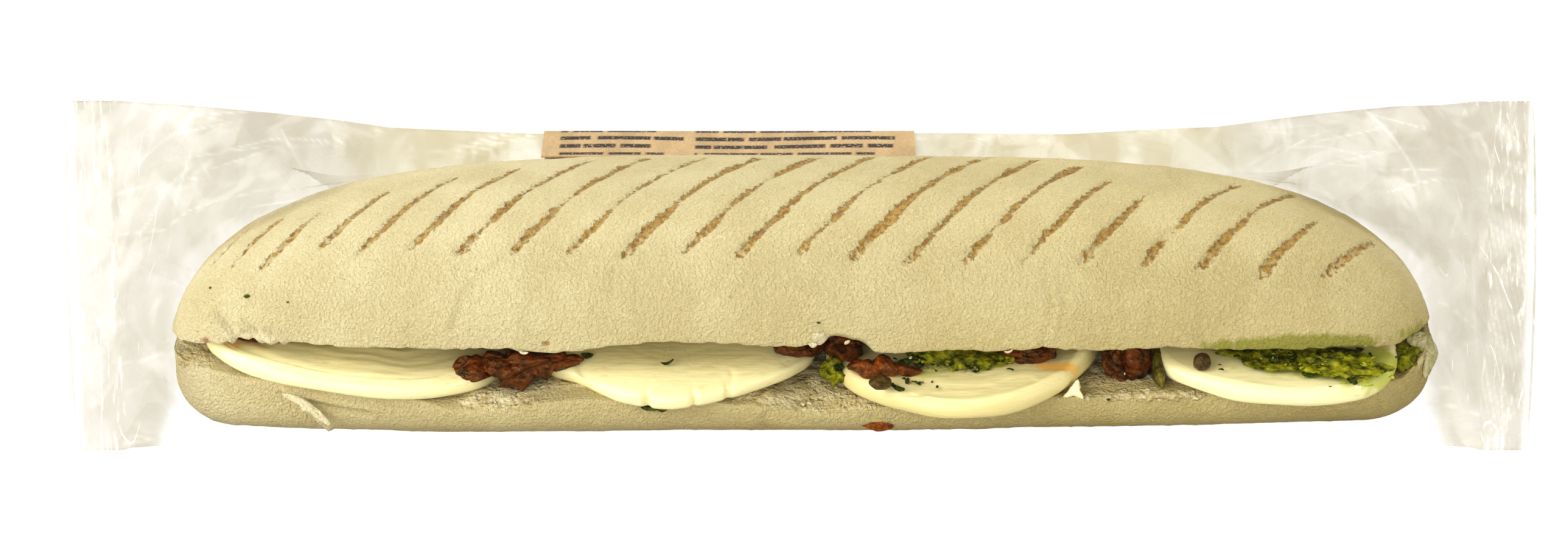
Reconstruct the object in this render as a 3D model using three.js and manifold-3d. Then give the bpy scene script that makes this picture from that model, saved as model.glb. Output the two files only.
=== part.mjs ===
// A grilled panini in its clear film bag.
// The loaf is shaped whole, pressed by the grill, then cut into two halves round the filling.
// Lengths are in millimetres. X runs along the loaf, Y away from its open side, Z up from the table.

import * as THREE from 'three';
import * as BufferGeometryUtils from 'three/addons/utils/BufferGeometryUtils.js';
import Module from 'manifold-3d';

const wasm = await Module();
wasm.setup();

// Loaf in plan: two superellipse halves that meet on its widest line
const HALF_LENGTH = 132.5;
const WIDEST_Y = -15.8;
const FRONT_DEPTH = 21.8;
const REAR_DEPTH = 53.3;
const FRONT_POWER = 4.4;
const REAR_POWER = 2.55;
const FRONT_BOW = 0.04;

// Loaf in section: a soft base, an upright wall, a domed crust
const BASE_RIM = 12.6;
const BASE_DIP = 0.5;
const BASE_POWER = [[-132, 3.2], [10, 3.2], [60, 2.7], [132, 2.3]];
const BASE_END_ROUND = 13;
const WALL_RISE = 10.75;
const WALL_RUN = 76;
const DOME_RISE = 30.6;
const DOME_POWER = 2.58;
const END_POWER_LEFT = 4.14;
const END_POWER_RIGHT = 4.85;
const END_SOFTNESS = 1.9;
const END_BLUNTNESS = 0.9999;
const HINGE_Y = 38.5;

// Cut faces: height of each half's front rim along X, and the faces' slope towards the hinge
const LOWER_RIM = [[-132, 17.6], [-116, 16.2], [-88, 13], [-70, 11.3], [-40, 12.9], [-20, 12.4],
  [3, 10.9], [30, 12], [60, 13.4], [100, 13.6], [125, 14.2], [132, 20]];
const UPPER_RIM = [[-132, 22], [-122, 23.3], [-108, 24.8], [-90, 24.2], [-45, 24], [-28, 26],
  [-12, 25.5], [2, 24.9], [16, 23.7], [60, 24.2], [112, 23.5], [122, 22.2], [132, 25.5]];
const LOWER_SLOPE = 0.08;
const UPPER_SLOPE = -0.045;
const CRUMB_WAVE = 0.25;
const LOWER_WAVES = { long: 5.3, short: 3.1, inwards: 4 };
const UPPER_WAVES = { long: 6.1, short: 3.7, shift: 1 };
const GAP = 0.3;
const HINGE_GAP = 0.4;
const LEAST_SPACE = 0.05;
const FILM_GAP = 0.9;

// Grill marks: bars that cross the crust aslant and turn a little on their way to the rear. Each
// starts at a height on the front of the crust, over its foot on a line along X, and has its rear end
const GRILL_FEET = [-117, -106.2, -95.4, -84.5, -72.8, -61.6, -49.7, -37.8, -25.9, -14, -2.1, 9.8, 21.7,
  33.6, 45.4, 57.1, 70.2, 81.8, 94.4];
const GRILL_FOOT_Y = -33;
const GRILL_REAR = [[-117, -9], [-95, 2], [-62, 14], [10, 18], [34, 8], [46, -3], [57, -10], [70, 2],
  [82, 3], [94, -13]];
const GRILL_RUN = 0.56;
const GRILL_TURN = 4.2;
const GRILL_TURN_REACH = 7;
const GRILL_WIDTH = 2.5;
const GRILL_DEPTH = 0.75;
const GRILL_TAPER = 0.45;
const GRILL_FLARE = { share: 0.08, turn: 2.1, length: 3 };
const GRILL_STEPS = 5;
const GRILL_MARGIN = { end: 4, side: 1 };
const GRILL_EDGE = [[-117, 38.3], [-100, 41.6], [-80, 42.8], [0, 42.5], [30, 41.2], [70, 41],
  [82, 39.6], [95, 38.2], [109, 37.3]];

// Mozzarella slices, which lean back on the lower half: outline in plan as [x, y] points, height of
// the underside at the front, rise along X, and how wide the upper edge is rounded
const SLICE_TILT = 0.11;
const SLICE_EDGE = 1.7;
const SLICE_HEART = 0.02;
const SLICE_CORNERS = 30;
const SLICE_STEPS = { over: 3, under: 2 };
const SLICES = [
  {
    outline: [[-125.5, -22], [-122.3, -29], [-115, -33.8], [-104, -37.2], [-92, -38.3], [-80, -37.6],
      [-71, -34.5], [-62, -28], [-58, -18], [-61, -5], [-72, 6], [-90, 11], [-108, 7], [-122, -6]],
    middle: [-91.5, -14],
    z: 13.2,
    roll: -0.1,
    thickness: 4.4,
    crown: 3,
  },
  {
    outline: [[-55.6, -21], [-53.4, -27.6], [-47.3, -31.6], [-39.4, -38.2], [-33, -40.7], [-26.4, -41.5],
      [-17.4, -38.8], [-9.5, -34.8], [-1, -28.8], [3, -22], [1, -8], [-10, 7], [-26, 13], [-42, 7],
      [-53, -6]],
    middle: [-25.5, -15],
    z: 11.9,
    roll: 0.006,
    thickness: 5.2,
    crown: 12,
  },
  {
    outline: [[5, -22], [8.4, -31.9], [13.7, -37.8], [19.5, -41.7], [30.6, -45.8], [41.6, -44.9],
      [50.6, -40.2], [58.4, -31.6], [63, -20], [61, -5], [50, 8], [34, 12.5], [18, 8], [7, -5]],
    middle: [34, -17],
    z: 11.9,
    roll: 0.035,
    thickness: 4.4,
    crown: 2,
  },
  {
    outline: [[73, -22], [77, -33.2], [86, -39.3], [95.7, -42.4], [106.5, -43.2], [115.4, -40.8],
      [121.7, -35.8], [125, -27], [124, -14], [117, 2], [101, 9.5], [85, 4], [75, -9]],
    middle: [99.5, -16],
    z: 13.4,
    roll: 0,
    thickness: 4.4,
    crown: 2,
  },
];

// Film bag: end seals, a pillow over each end of the loaf, and a fold behind it
const SEAL_X = 156.4;
const SEAL_INNER_X = 146.5;
const SEAL_SLANT = 8.2;
const SEAL_BOW = 1.4;
const SEAL_HALF_CHORD = 55;
const SEAL_TILT = THREE.MathUtils.degToRad(18);
const SEAL_Z = 25.7;
const SEAL_THICKNESS = 0.8;
const SEAL_FLAT = 0.35;
const BAG_SPLITS = 3;
const BAG_END_X = 95;

// Paper label, folded over the film behind the loaf
const LABEL_START_X = -57;
const LABEL_END_X = 25.3;
const LABEL_THICKNESS = 0.5;
const LABEL_LIFT = 0.6;
const LABEL_LINE = [[23.5, 42.2], [41, 39.6], [38.6, 19], [38.3, 12]];
const LABEL_OUTWARD = [[0.14, 0.99], [0.85, 0.35], [0.99, -0.09], [1, 0]];

// Steps of the loaf's surface and of the cut faces, and the reach of the cutting solids
const LOAF_STEPS = { along: 24, over: 14, under: 8 };
const CLEARANCE_STEPS = { along: 18, over: 12, under: 8 };
const SLAB = { x: 150, y: 60, stepsX: 36, stepsY: 5 };
const HIGH = 70;
const LOW = -5;
const BOX = 400;

// Waves that pull a lump about, as radians over its unit ball
const SLOW_WAVES = [2.6, 2.9, 3.4];
const FAST_WAVES = [6.1, 5.3, 4.7];
const SLOW_SHIFTS = [1.7, 1, 2.3];
const FAST_SHIFTS = [1, 2];
const WAVE_SHARES = { slow: 0.6, fast: 0.7 };

const FINISH = {
  crust: { color: '#ddd0a9', roughness: 0.75, metalness: 0 },
  mozzarella: { color: '#f3ecc4', roughness: 0.4, metalness: 0 },
  tomato: { color: '#6b2a16', roughness: 0.35, metalness: 0 },
  redTomato: { color: '#9c4422', roughness: 0.35, metalness: 0 },
  caper: { color: '#4c2c1c', roughness: 0.35, metalness: 0 },
  pesto: { color: '#4f6322', roughness: 0.3, metalness: 0 },
  leaf: { color: '#4a4a1c', roughness: 0.35, metalness: 0 },
  film: { color: '#e9e9e6', roughness: 0.12, metalness: 0, transparent: true, opacity: 0.3 },
  paper: { color: '#b89468', roughness: 0.85, metalness: 0 },
};

const materialOf = (finish) => new THREE.MeshStandardMaterial(finish);
const smooth = (t) => t * t * (3 - 2 * t);

/** Value at x on a smooth line through [x, value] points. */
function alongLine(points, x) {
  if (x <= points[0][0]) {
    return points[0][1];
  }
  for (let i = 1; i < points.length; i += 1) {
    const [x1, v1] = points[i];
    if (x <= x1) {
      const [x0, v0] = points[i - 1];
      return v0 + (v1 - v0) * smooth((x - x0) / (x1 - x0));
    }
  }
  return points[points.length - 1][1];
}

/** Superellipse height over a unit half width. */
function superRound(u, power) {
  return (1 - Math.min(1, Math.abs(u)) ** power) ** (1 / power);
}

/** Closed surface through rings of equally many points, with a flat cap on the first and last. */
function closedLoft(rings) {
  const count = rings[0].length;
  const positions = rings.flat().flatMap((p) => [p.x, p.y, p.z]);
  const index = [];
  for (let r = 0; r < rings.length - 1; r += 1) {
    for (let i = 0; i < count; i += 1) {
      const a = r * count + i;
      const b = r * count + ((i + 1) % count);
      index.push(a, b, a + count, b, b + count, a + count);
    }
  }
  const last = (rings.length - 1) * count;
  for (let i = 1; i < count - 1; i += 1) {
    index.push(0, i + 1, i);
    index.push(last, last + i, last + i + 1);
  }
  const geometry = new THREE.BufferGeometry();
  geometry.setAttribute('position', new THREE.Float32BufferAttribute(positions, 3));
  geometry.setIndex(index);
  return geometry;
}

/** Volume inside a closed mesh, negative where its faces point inwards. */
function signedVolume(vertices, triangles) {
  const corner = (i) => new THREE.Vector3().fromArray(vertices, triangles[i] * 3);
  let volume = 0;
  for (let t = 0; t < triangles.length; t += 3) {
    volume += corner(t).dot(corner(t + 1).cross(corner(t + 2))) / 6;
  }
  return volume;
}

/** Solid of a closed geometry. */
function solidOf(geometry) {
  const bare = geometry.clone();
  bare.deleteAttribute('normal');
  bare.deleteAttribute('uv');
  const merged = BufferGeometryUtils.mergeVertices(bare, 1e-4);
  const vertProperties = new Float32Array(merged.attributes.position.array);
  const triVerts = new Uint32Array(merged.index.array);
  if (signedVolume(vertProperties, triVerts) < 0) {
    for (let t = 0; t < triVerts.length; t += 3) {
      [triVerts[t + 1], triVerts[t + 2]] = [triVerts[t + 2], triVerts[t + 1]];
    }
  }
  return new wasm.Manifold(new wasm.Mesh({ numProp: 3, vertProperties, triVerts }));
}

/** The largest body of a solid: scraps that a cut leaves loose are dropped. */
function mainBody(solid) {
  const bodies = solid.decompose();
  return bodies.reduce((a, b) => (a.volume() > b.volume() ? a : b));
}

/** Named mesh of a solid. */
function meshOf(name, solid, finish) {
  const { vertProperties, triVerts } = mainBody(solid).getMesh();
  const geometry = new THREE.BufferGeometry();
  geometry.setAttribute('position', new THREE.Float32BufferAttribute(vertProperties, 3));
  geometry.setIndex(Array.from(triVerts));
  geometry.computeVertexNormals();
  const mesh = new THREE.Mesh(geometry, materialOf(finish));
  mesh.name = name;
  return mesh;
}

/** Loaf outline across at x: front and rear edge, middle and half width. */
function plan(x, grow = 0) {
  const u = Math.abs(x) / (HALF_LENGTH + grow);
  const bow = 1 - FRONT_BOW * u * u;
  const front = WIDEST_Y - (FRONT_DEPTH + grow) * superRound(u, FRONT_POWER) * bow;
  const rear = WIDEST_Y + (REAR_DEPTH + grow) * superRound(u, REAR_POWER);
  return { front, rear, middle: (front + rear) / 2, half: (rear - front) / 2 };
}

/** Height of the domed crust over a point of the plan. */
function crustHeight(x, y, grow = 0) {
  const { middle, half } = plan(x, grow);
  const u = Math.min(1, Math.abs(x) / (HALF_LENGTH + grow));
  const endFall = (1 - u ** (x < 0 ? END_POWER_LEFT : END_POWER_RIGHT)) ** (1 / END_SOFTNESS);
  const wall = (WALL_RISE * (HINGE_Y - y)) / WALL_RUN;
  return BASE_RIM + wall + (DOME_RISE + grow) * endFall * superRound((y - middle) / half, DOME_POWER);
}

/** Height of the rounded base under a point of the plan. */
function baseHeight(x, y, grow = 0) {
  const { middle, half } = plan(x, grow);
  const inset = Math.min(1, (HALF_LENGTH + grow - Math.abs(x)) / BASE_END_ROUND);
  const fullness = Math.sqrt(1 - (1 - inset) ** 2);
  const bowl = BASE_RIM + BASE_DIP + grow;
  return BASE_RIM - bowl * fullness * superRound((y - middle) / half, alongLine(BASE_POWER, x));
}

/** Loaf before it is cut, optionally grown all round to cut clearance from its neighbours. */
function loafSolid(grow, steps) {
  const rings = [];
  for (let i = 0; i <= steps.along; i += 1) {
    const turn = Math.asin(END_BLUNTNESS) * ((2 * i) / steps.along - 1);
    const x = (HALF_LENGTH + grow) * Math.sin(turn);
    const { middle, half } = plan(x, grow);
    const ring = [];
    const across = (angle, power) => {
      const s = Math.sin(angle);
      return middle + half * Math.sign(s) * Math.abs(s) ** (2 / power);
    };
    for (let j = 0; j <= steps.over; j += 1) {
      const y = across(Math.PI * (j / steps.over - 0.5), DOME_POWER);
      ring.push(new THREE.Vector3(x, y, crustHeight(x, y, grow)));
    }
    for (let j = 0; j <= steps.under; j += 1) {
      const y = across(Math.PI * (0.5 - j / steps.under), alongLine(BASE_POWER, x));
      ring.push(new THREE.Vector3(x, y, baseHeight(x, y, grow)));
    }
    rings.push(ring);
  }
  return solidOf(closedLoft(rings));
}

/** Cut face of the lower half. */
function lowerCut(x, y) {
  const { long, short, inwards } = LOWER_WAVES;
  const crumb = CRUMB_WAVE * (Math.sin(x / long) + Math.sin(x / short + y / inwards));
  return alongLine(LOWER_RIM, x) + LOWER_SLOPE * (y - plan(x).front) + crumb;
}

/** Cut face of the upper half, which closes on the lower one towards the hinge. */
function upperCut(x, y) {
  const { long, short, shift } = UPPER_WAVES;
  const crumb = CRUMB_WAVE * (Math.sin(x / long + shift) + Math.sin(x / short));
  const open = alongLine(UPPER_RIM, x) + UPPER_SLOPE * (y - plan(x).front) + crumb;
  return Math.max(open, lowerCut(x, y) + HINGE_GAP);
}

/** Solid between two height fields, wider than the loaf. */
function slabBetween(lower, upper) {
  const rings = [];
  for (let i = 0; i <= SLAB.stepsX; i += 1) {
    const x = SLAB.x * ((2 * i) / SLAB.stepsX - 1);
    const inside = THREE.MathUtils.clamp(x, -HALF_LENGTH, HALF_LENGTH);
    const ys = Array.from({ length: SLAB.stepsY + 1 }, (_, j) => SLAB.y * ((2 * j) / SLAB.stepsY - 1));
    const under = ys.map((y) => new THREE.Vector3(x, y, lower(inside, y)));
    const over = ys.reverse().map((y) => new THREE.Vector3(x, y, upper(inside, y)));
    rings.push([...under, ...over]);
  }
  return solidOf(closedLoft(rings));
}

/** How far a grill mark has run along X at a depth y, and how fast it runs there. */
function grillRun(y) {
  const past = y - GRILL_FOOT_Y;
  const fall = Math.exp(-Math.max(past, 0) / GRILL_TURN_REACH);
  const slope = GRILL_RUN + (GRILL_TURN / GRILL_TURN_REACH) * fall;
  return { slope, run: past > 0 ? GRILL_RUN * past + GRILL_TURN * (1 - fall) : slope * past };
}

/** Height of the crust in a grill mark's path, or 0 where the mark can't reach it. */
function grillHeight(x, y) {
  const { front, rear } = plan(Math.min(Math.abs(x), HALF_LENGTH));
  const onLoaf = Math.abs(x) < HALF_LENGTH - GRILL_MARGIN.end
    && y > front + GRILL_MARGIN.side && y < rear - GRILL_MARGIN.side;
  const z = onLoaf ? crustHeight(x, y) : 0;
  return z > alongLine(GRILL_EDGE, x) ? z : 0;
}

/** Bars of the grill as solids that sink into the crust. */
function grillBars() {
  const bars = [];
  GRILL_FEET.forEach((foot, k) => {
    const rearY = alongLine(GRILL_REAR, foot);
    let startY = GRILL_FOOT_Y;
    while (startY < rearY && !grillHeight(foot + grillRun(startY).run, startY)) {
      startY += GRILL_MARGIN.side;
    }
    const rings = [];
    for (let i = 0; i <= GRILL_STEPS; i += 1) {
      const y = THREE.MathUtils.lerp(startY, rearY, i / GRILL_STEPS);
      const { slope, run } = grillRun(y);
      const x = foot + run;
      const z = grillHeight(x, y);
      if (z) {
        const side = new THREE.Vector3(1, -slope, 0).normalize();
        const flare = Math.sin(GRILL_FLARE.turn * k + y / GRILL_FLARE.length);
        const reach = GRILL_WIDTH * (0.5 + GRILL_FLARE.share * flare);
        const corner = (across, up) => new THREE.Vector3(x, y, z + up).addScaledVector(side, across);
        rings.push([corner(-reach, 2 * GRILL_DEPTH), corner(reach, 2 * GRILL_DEPTH),
          corner(reach * GRILL_TAPER, -GRILL_DEPTH), corner(-reach * GRILL_TAPER, -GRILL_DEPTH)]);
      }
    }
    if (rings.length > 2) {
      bars.push(solidOf(closedLoft(rings)));
    }
  });
  return bars;
}

/** Uneven lump: a ball pulled about by smooth waves, then sized, turned and placed. */
function lump({ at, size, turn = [0, 0, 0], seed = 0, rough = 0.15, detail = 2 }, grow = 0) {
  const ball = new THREE.IcosahedronGeometry(1, detail);
  ball.deleteAttribute('normal');
  ball.deleteAttribute('uv');
  const geometry = BufferGeometryUtils.mergeVertices(ball, 1e-4);
  const { position } = geometry.attributes;
  const p = new THREE.Vector3();
  for (let i = 0; i < position.count; i += 1) {
    p.fromBufferAttribute(position, i);
    const slow = Math.sin(SLOW_WAVES[0] * p.x + SLOW_SHIFTS[0] * seed)
      * Math.cos(SLOW_WAVES[1] * p.y + SLOW_SHIFTS[1] * seed)
      + Math.sin(SLOW_WAVES[2] * p.z + SLOW_SHIFTS[2] * seed);
    const fast = Math.sin(FAST_WAVES[0] * p.x + FAST_SHIFTS[0] * seed)
      * Math.sin(FAST_WAVES[1] * p.y + FAST_SHIFTS[1] * seed) * Math.cos(FAST_WAVES[2] * p.z);
    p.multiplyScalar(1 + rough * (WAVE_SHARES.slow * slow + WAVE_SHARES.fast * fast));
    p.set(p.x * (size[0] + grow), p.y * (size[1] + grow), p.z * (size[2] + grow));
    position.setXYZ(i, p.x, p.y, p.z);
  }
  geometry.applyMatrix4(new THREE.Matrix4().makeRotationFromEuler(new THREE.Euler(...turn)));
  geometry.translate(...at);
  return solidOf(geometry);
}

/** Slice with a soft edge, leaning back on the lower half: rings from its top to its underside. */
function sliceSolid({ outline, middle, z, roll, thickness, crown }, grow = 0) {
  const corners = outline.map(([x, y]) => new THREE.Vector3(x, y, 0));
  const curve = new THREE.CatmullRomCurve3(corners, true, 'catmullrom', 0.5);
  const centre = new THREE.Vector3(...middle, 0);
  const front = Math.min(...outline.map(([, y]) => y));
  const half = thickness / 2;
  const ring = (inset, up) => Array.from({ length: SLICE_CORNERS }, (_, i) => {
    const spoke = curve.getPoint(i / SLICE_CORNERS).sub(centre);
    const reach = spoke.length();
    spoke.multiplyScalar(Math.max(SLICE_HEART, (reach + grow - inset) / reach)).add(centre);
    const lift = z + half + SLICE_TILT * (spoke.y - front) + roll * (spoke.x - centre.x);
    return spoke.setZ(lift + up);
  });
  const rings = [ring(Infinity, half + grow)];
  for (let i = 0; i <= SLICE_STEPS.over; i += 1) {
    const angle = (Math.PI / 2) * (1 - i / SLICE_STEPS.over);
    rings.push(ring(crown * (1 - Math.cos(angle)), (half + grow) * Math.sin(angle)));
  }
  for (let i = 1; i <= SLICE_STEPS.under; i += 1) {
    const angle = (Math.PI / 2) * (i / SLICE_STEPS.under);
    rings.push(ring(SLICE_EDGE * (1 - Math.cos(angle)), -(half + grow) * Math.sin(angle)));
  }
  rings.push(ring(Infinity, -half - grow));
  return solidOf(closedLoft(rings));
}

// Pieces that lie on and between the slices
const FILLINGS = [
  {
    name: 'tomato_1',
    finish: 'tomato',
    at: [-60, -25.5, 16.6],
    size: [12.6, 6.2, 4.4],
    turn: [0.1, 0.12, -0.1],
    seed: 1,
    rough: 0.17,
  },
  {
    name: 'tomato_2',
    finish: 'tomato',
    at: [-0.6, -25.6, 20],
    size: [6.2, 4.6, 1.9],
    turn: [0.1, 0.12, 0.1],
    seed: 2,
    rough: 0.12,
  },
  {
    name: 'tomato_3',
    finish: 'tomato',
    at: [8.6, -24.6, 19.2],
    size: [4.6, 6, 4.2],
    turn: [0, 0, 0.2],
    seed: 3,
    rough: 0.16,
  },
  {
    name: 'tomato_4',
    finish: 'redTomato',
    at: [17.4, -33.2, 18.9],
    size: [7.6, 5, 1.9],
    turn: [0.12, 0.06, -0.1],
    seed: 4,
    rough: 0.17,
  },
  {
    name: 'tomato_5',
    finish: 'tomato',
    at: [47.4, -28.8, 20.2],
    size: [6.6, 4.6, 2.6],
    turn: [0.1, -0.08, 0],
    seed: 5,
    rough: 0.15,
  },
  {
    name: 'tomato_6',
    finish: 'tomato',
    at: [67.4, -25.8, 17.6],
    size: [4.8, 6, 5.2],
    turn: [0, 0, 0.15],
    seed: 6,
    rough: 0.15,
  },
  {
    name: 'tomato_7',
    finish: 'redTomato',
    at: [15.8, -36.6, 6],
    size: [3.1, 1.1, 1.1],
    turn: [0.7, 0, 0],
    seed: 7,
    rough: 0.12,
    outside: true,
  },
  {
    name: 'tomato_8',
    finish: 'tomato',
    at: [-114.5, -24.6, 21.9],
    size: [8.4, 3.2, 0.8],
    turn: [0.1, 0.1, 0],
    seed: 8,
    rough: 0.1,
  },
  {
    name: 'caper_1',
    finish: 'caper',
    at: [16.2, -40.8, 18.9],
    size: [2.5, 2.2, 2],
    turn: [0, 0, 0.3],
    seed: 9,
    rough: 0.05,
  },
  {
    name: 'caper_2',
    finish: 'caper',
    at: [83.1, -34.6, 20.2],
    size: [1.9, 1.9, 1.8],
    turn: [0, 0, 0],
    seed: 10,
    rough: 0.05,
  },
  {
    name: 'leaf_1',
    finish: 'leaf',
    at: [74.4, -27.2, 16.2],
    size: [1.5, 7.6, 3.3],
    turn: [0.28, 0, 0.1],
    seed: 11,
    rough: 0.05,
  },
  {
    name: 'pesto_1',
    finish: 'pesto',
    at: [6.8, -29.6, 15.8],
    size: [2.8, 3.4, 3],
    turn: [0, 0, 0],
    seed: 12,
    rough: 0.16,
  },
  {
    name: 'pesto_2',
    finish: 'pesto',
    at: [33.4, -28.4, 19.6],
    size: [12.2, 7, 1.9],
    turn: [0.1, 0.03, -0.06],
    seed: 13,
    rough: 0.16,
  },
  {
    name: 'pesto_3',
    finish: 'pesto',
    at: [105.4, -31.6, 20.3],
    size: [17, 7.2, 1.9],
    turn: [0.1, 0, -0.25],
    seed: 14,
    rough: 0.15,
  },
  {
    name: 'pesto_4',
    finish: 'pesto',
    at: [127, -24.6, 17],
    size: [3.4, 5, 2.6],
    turn: [0, 0, -0.35],
    seed: 15,
    rough: 0.13,
  },
  {
    name: 'mozzarella_scrap',
    finish: 'mozzarella',
    at: [57.2, -36.2, 14.4],
    size: [2, 0.9, 1.9],
    turn: [0.5, 0.2, 0],
    seed: 16,
    rough: 0.08,
  },
];

// Tears in the crust and in the crumb at the rims
const TEARS = {
  upper: [
    { at: [8.4, -37.6, 25], size: [4.6, 4, 3], seed: 21, rough: 0.12 },
    { at: [-117.5, -33.5, 24], size: [2.6, 4, 1.7], seed: 22, rough: 0.12 },
    { at: [-111.8, -35, 25], size: [2.2, 4, 1.6], seed: 23, rough: 0.12 },
  ],
  lower: [
    { at: [-66, -38.4, 12.2], size: [7.5, 2.6, 2.2], seed: 24, rough: 0.14 },
    { at: [6, -38.8, 11.8], size: [8.5, 2.4, 1.6], seed: 25, rough: 0.14 },
  ],
};

/** Filling pieces, each cut clear of the bread, of the slices and of the pieces before it. */
function fillingSolids(gapSpace, loafGrown) {
  const taken = SLICES.map((slice) => sliceSolid(slice, GAP));
  return FILLINGS.map((piece) => {
    let solid = lump(piece);
    solid = piece.outside ? solid.subtract(loafGrown) : solid.intersect(gapSpace);
    for (const other of taken) {
      solid = solid.subtract(other);
    }
    taken.push(lump(piece, GAP));
    return { ...piece, solid: mainBody(solid) };
  });
}

// Bag sections from the seal to the middle: front, top, rear and under corners as [y, z]
const BAG_SECTIONS = [
  { x: 136, slant: 0.75, corners: [[-50.4, 8.6], [-20, 26], [15, 37.6], [51.6, 42.3], [18, 22], [-22, 7]] },
  { x: 127, slant: 0.45, corners: [[-46, 7.4], [-31, 25.5], [-2, 36.6], [50.6, 41.7], [11, 7], [-28, 2]] },
  { x: 116, slant: 0.2, corners: [[-24, 16], [-16, 31], [1, 40], [49.4, 40.9], [16, 6], [0, 8]] },
  { x: 104, slant: 0.1, corners: [[-6, 20], [-4, 34], [3, 42.6], [47, 40.4], [22.5, 8], [6, 10]] },
  { x: 92, slant: 0, corners: [[0, 22], [0, 36], [21, 41.4], [43.6, 40], [27.4, 11], [12, 12]] },
  { x: 60, slant: 0, corners: [[0, 24], [0, 36], [22.5, 42.5], [41, 39.6], [34.8, 15], [14, 14]] },
  { x: 0, slant: 0, corners: [[0, 24], [0, 36], [22.5, 42.7], [41, 39.6], [37.2, 19], [15, 14]] },
];

/** Corners of the flat seal, a thin strip that leans up towards the rear. */
function sealCorners() {
  const along = new THREE.Vector2(Math.cos(SEAL_TILT), Math.sin(SEAL_TILT));
  const up = new THREE.Vector2(-along.y, along.x).multiplyScalar(SEAL_THICKNESS / 2);
  const at = (share, side) => new THREE.Vector2(0, SEAL_Z)
    .addScaledVector(along, share * SEAL_HALF_CHORD)
    .addScaledVector(up, side)
    .toArray();
  return [at(-1, 0), at(-SEAL_FLAT, 1), at(SEAL_FLAT, 1), at(1, 0), at(SEAL_FLAT, -1), at(-SEAL_FLAT, -1)];
}

/** Ring of bag points at one section, each side split evenly. */
function bagRing({ x, slant, corners }, end) {
  const ring = [];
  corners.forEach(([y0, z0], i) => {
    const [y1, z1] = corners[(i + 1) % corners.length];
    for (let s = 0; s < BAG_SPLITS; s += 1) {
      const y = THREE.MathUtils.lerp(y0, y1, s / BAG_SPLITS);
      const z = THREE.MathUtils.lerp(z0, z1, s / BAG_SPLITS);
      const reach = y / SEAL_HALF_CHORD;
      const shift = slant * (SEAL_SLANT * reach + SEAL_BOW * (1 - reach * reach));
      ring.push(new THREE.Vector3(end * (x + shift), y, z));
    }
  });
  return ring;
}

/** Film bag as a solid, open in front where the film lies on the bread. */
function bagSolid(neighbours) {
  const seal = sealCorners();
  const half = [
    { x: SEAL_X, slant: 1, corners: seal },
    { x: SEAL_INNER_X, slant: 1, corners: seal },
    ...BAG_SECTIONS,
  ];
  const left = half.map((section) => bagRing(section, -1));
  const right = half.slice(0, -1).reverse().map((section) => bagRing(section, 1));
  let bag = solidOf(closedLoft([...left, ...right]));
  for (const neighbour of neighbours) {
    bag = bag.subtract(neighbour);
  }
  return bag;
}

/** Label: a strip that lies on the film behind the crust, turns at the fold and goes down the back. */
function labelSolid() {
  const offset = (by) => LABEL_LINE.map(([y, z], i) => {
    const [outY, outZ] = LABEL_OUTWARD[i];
    return new THREE.Vector2(y + outY * by, z + outZ * by);
  });
  const far = offset(LABEL_LIFT + LABEL_THICKNESS).reverse();
  const outline = new THREE.Shape([...offset(LABEL_LIFT), ...far]);
  const depth = LABEL_END_X - LABEL_START_X;
  const geometry = new THREE.ExtrudeGeometry(outline, { depth, bevelEnabled: false });
  geometry.rotateY(Math.PI / 2);
  geometry.rotateX(Math.PI / 2);
  geometry.translate(LABEL_START_X, 0, 0);
  return solidOf(geometry);
}

/** Box that reaches from the table up past everything. */
function tableUpwards() {
  const box = new THREE.BoxGeometry(BOX, BOX, BOX);
  box.translate(0, 0, BOX / 2);
  return solidOf(box);
}

const panini = new THREE.Group();

let loaf = loafSolid(0, LOAF_STEPS).intersect(tableUpwards());
for (const bar of grillBars()) {
  loaf = loaf.subtract(bar);
}
const loafGrown = loafSolid(FILM_GAP, CLEARANCE_STEPS);
const pressed = SLICES.map((slice) => sliceSolid(slice, GAP));

let upper = loaf.intersect(slabBetween(upperCut, () => HIGH));
let lower = loaf.intersect(slabBetween(() => LOW, lowerCut));
for (const slice of pressed) {
  upper = upper.subtract(slice);
  lower = lower.subtract(slice);
}
TEARS.upper.forEach((tear) => {
  upper = upper.subtract(lump(tear));
});
TEARS.lower.forEach((tear) => {
  lower = lower.subtract(lump(tear));
});
panini.add(meshOf('bread_bottom', lower, FINISH.crust));
panini.add(meshOf('bread_top', upper, FINISH.crust));

SLICES.forEach((slice, i) => {
  panini.add(meshOf(`mozzarella_${i + 1}`, sliceSolid(slice), FINISH.mozzarella));
});

const gapSpace = slabBetween(
  (x, y) => lowerCut(x, y) + GAP,
  (x, y) => Math.max(upperCut(x, y) - GAP, lowerCut(x, y) + GAP + LEAST_SPACE),
);
const fillings = fillingSolids(gapSpace, loafGrown);
fillings.forEach(({ name, finish, solid }) => {
  panini.add(meshOf(name, solid, FINISH[finish]));
});

const nearBag = fillings.filter(({ at }) => Math.abs(at[0]) > BAG_END_X);
const neighbours = [
  loafGrown,
  ...SLICES.map((slice) => sliceSolid(slice, FILM_GAP)),
  ...nearBag.map((piece) => lump(piece, FILM_GAP)),
];
panini.add(meshOf('bag', bagSolid(neighbours), FINISH.film));
panini.add(meshOf('label', labelSolid(), FINISH.paper));

export default panini;
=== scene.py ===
"""A grilled panini in its clear film bag, dressed for a soft studio picture.

Lengths are in millimetres in the part's own frame, unless a line says metres: X runs along the
loaf, Y away from its open side, Z up from the table. Each mesh is written in metres.
"""

import logging
import math
from dataclasses import dataclass
from enum import Enum, auto
from typing import Sequence

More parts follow.
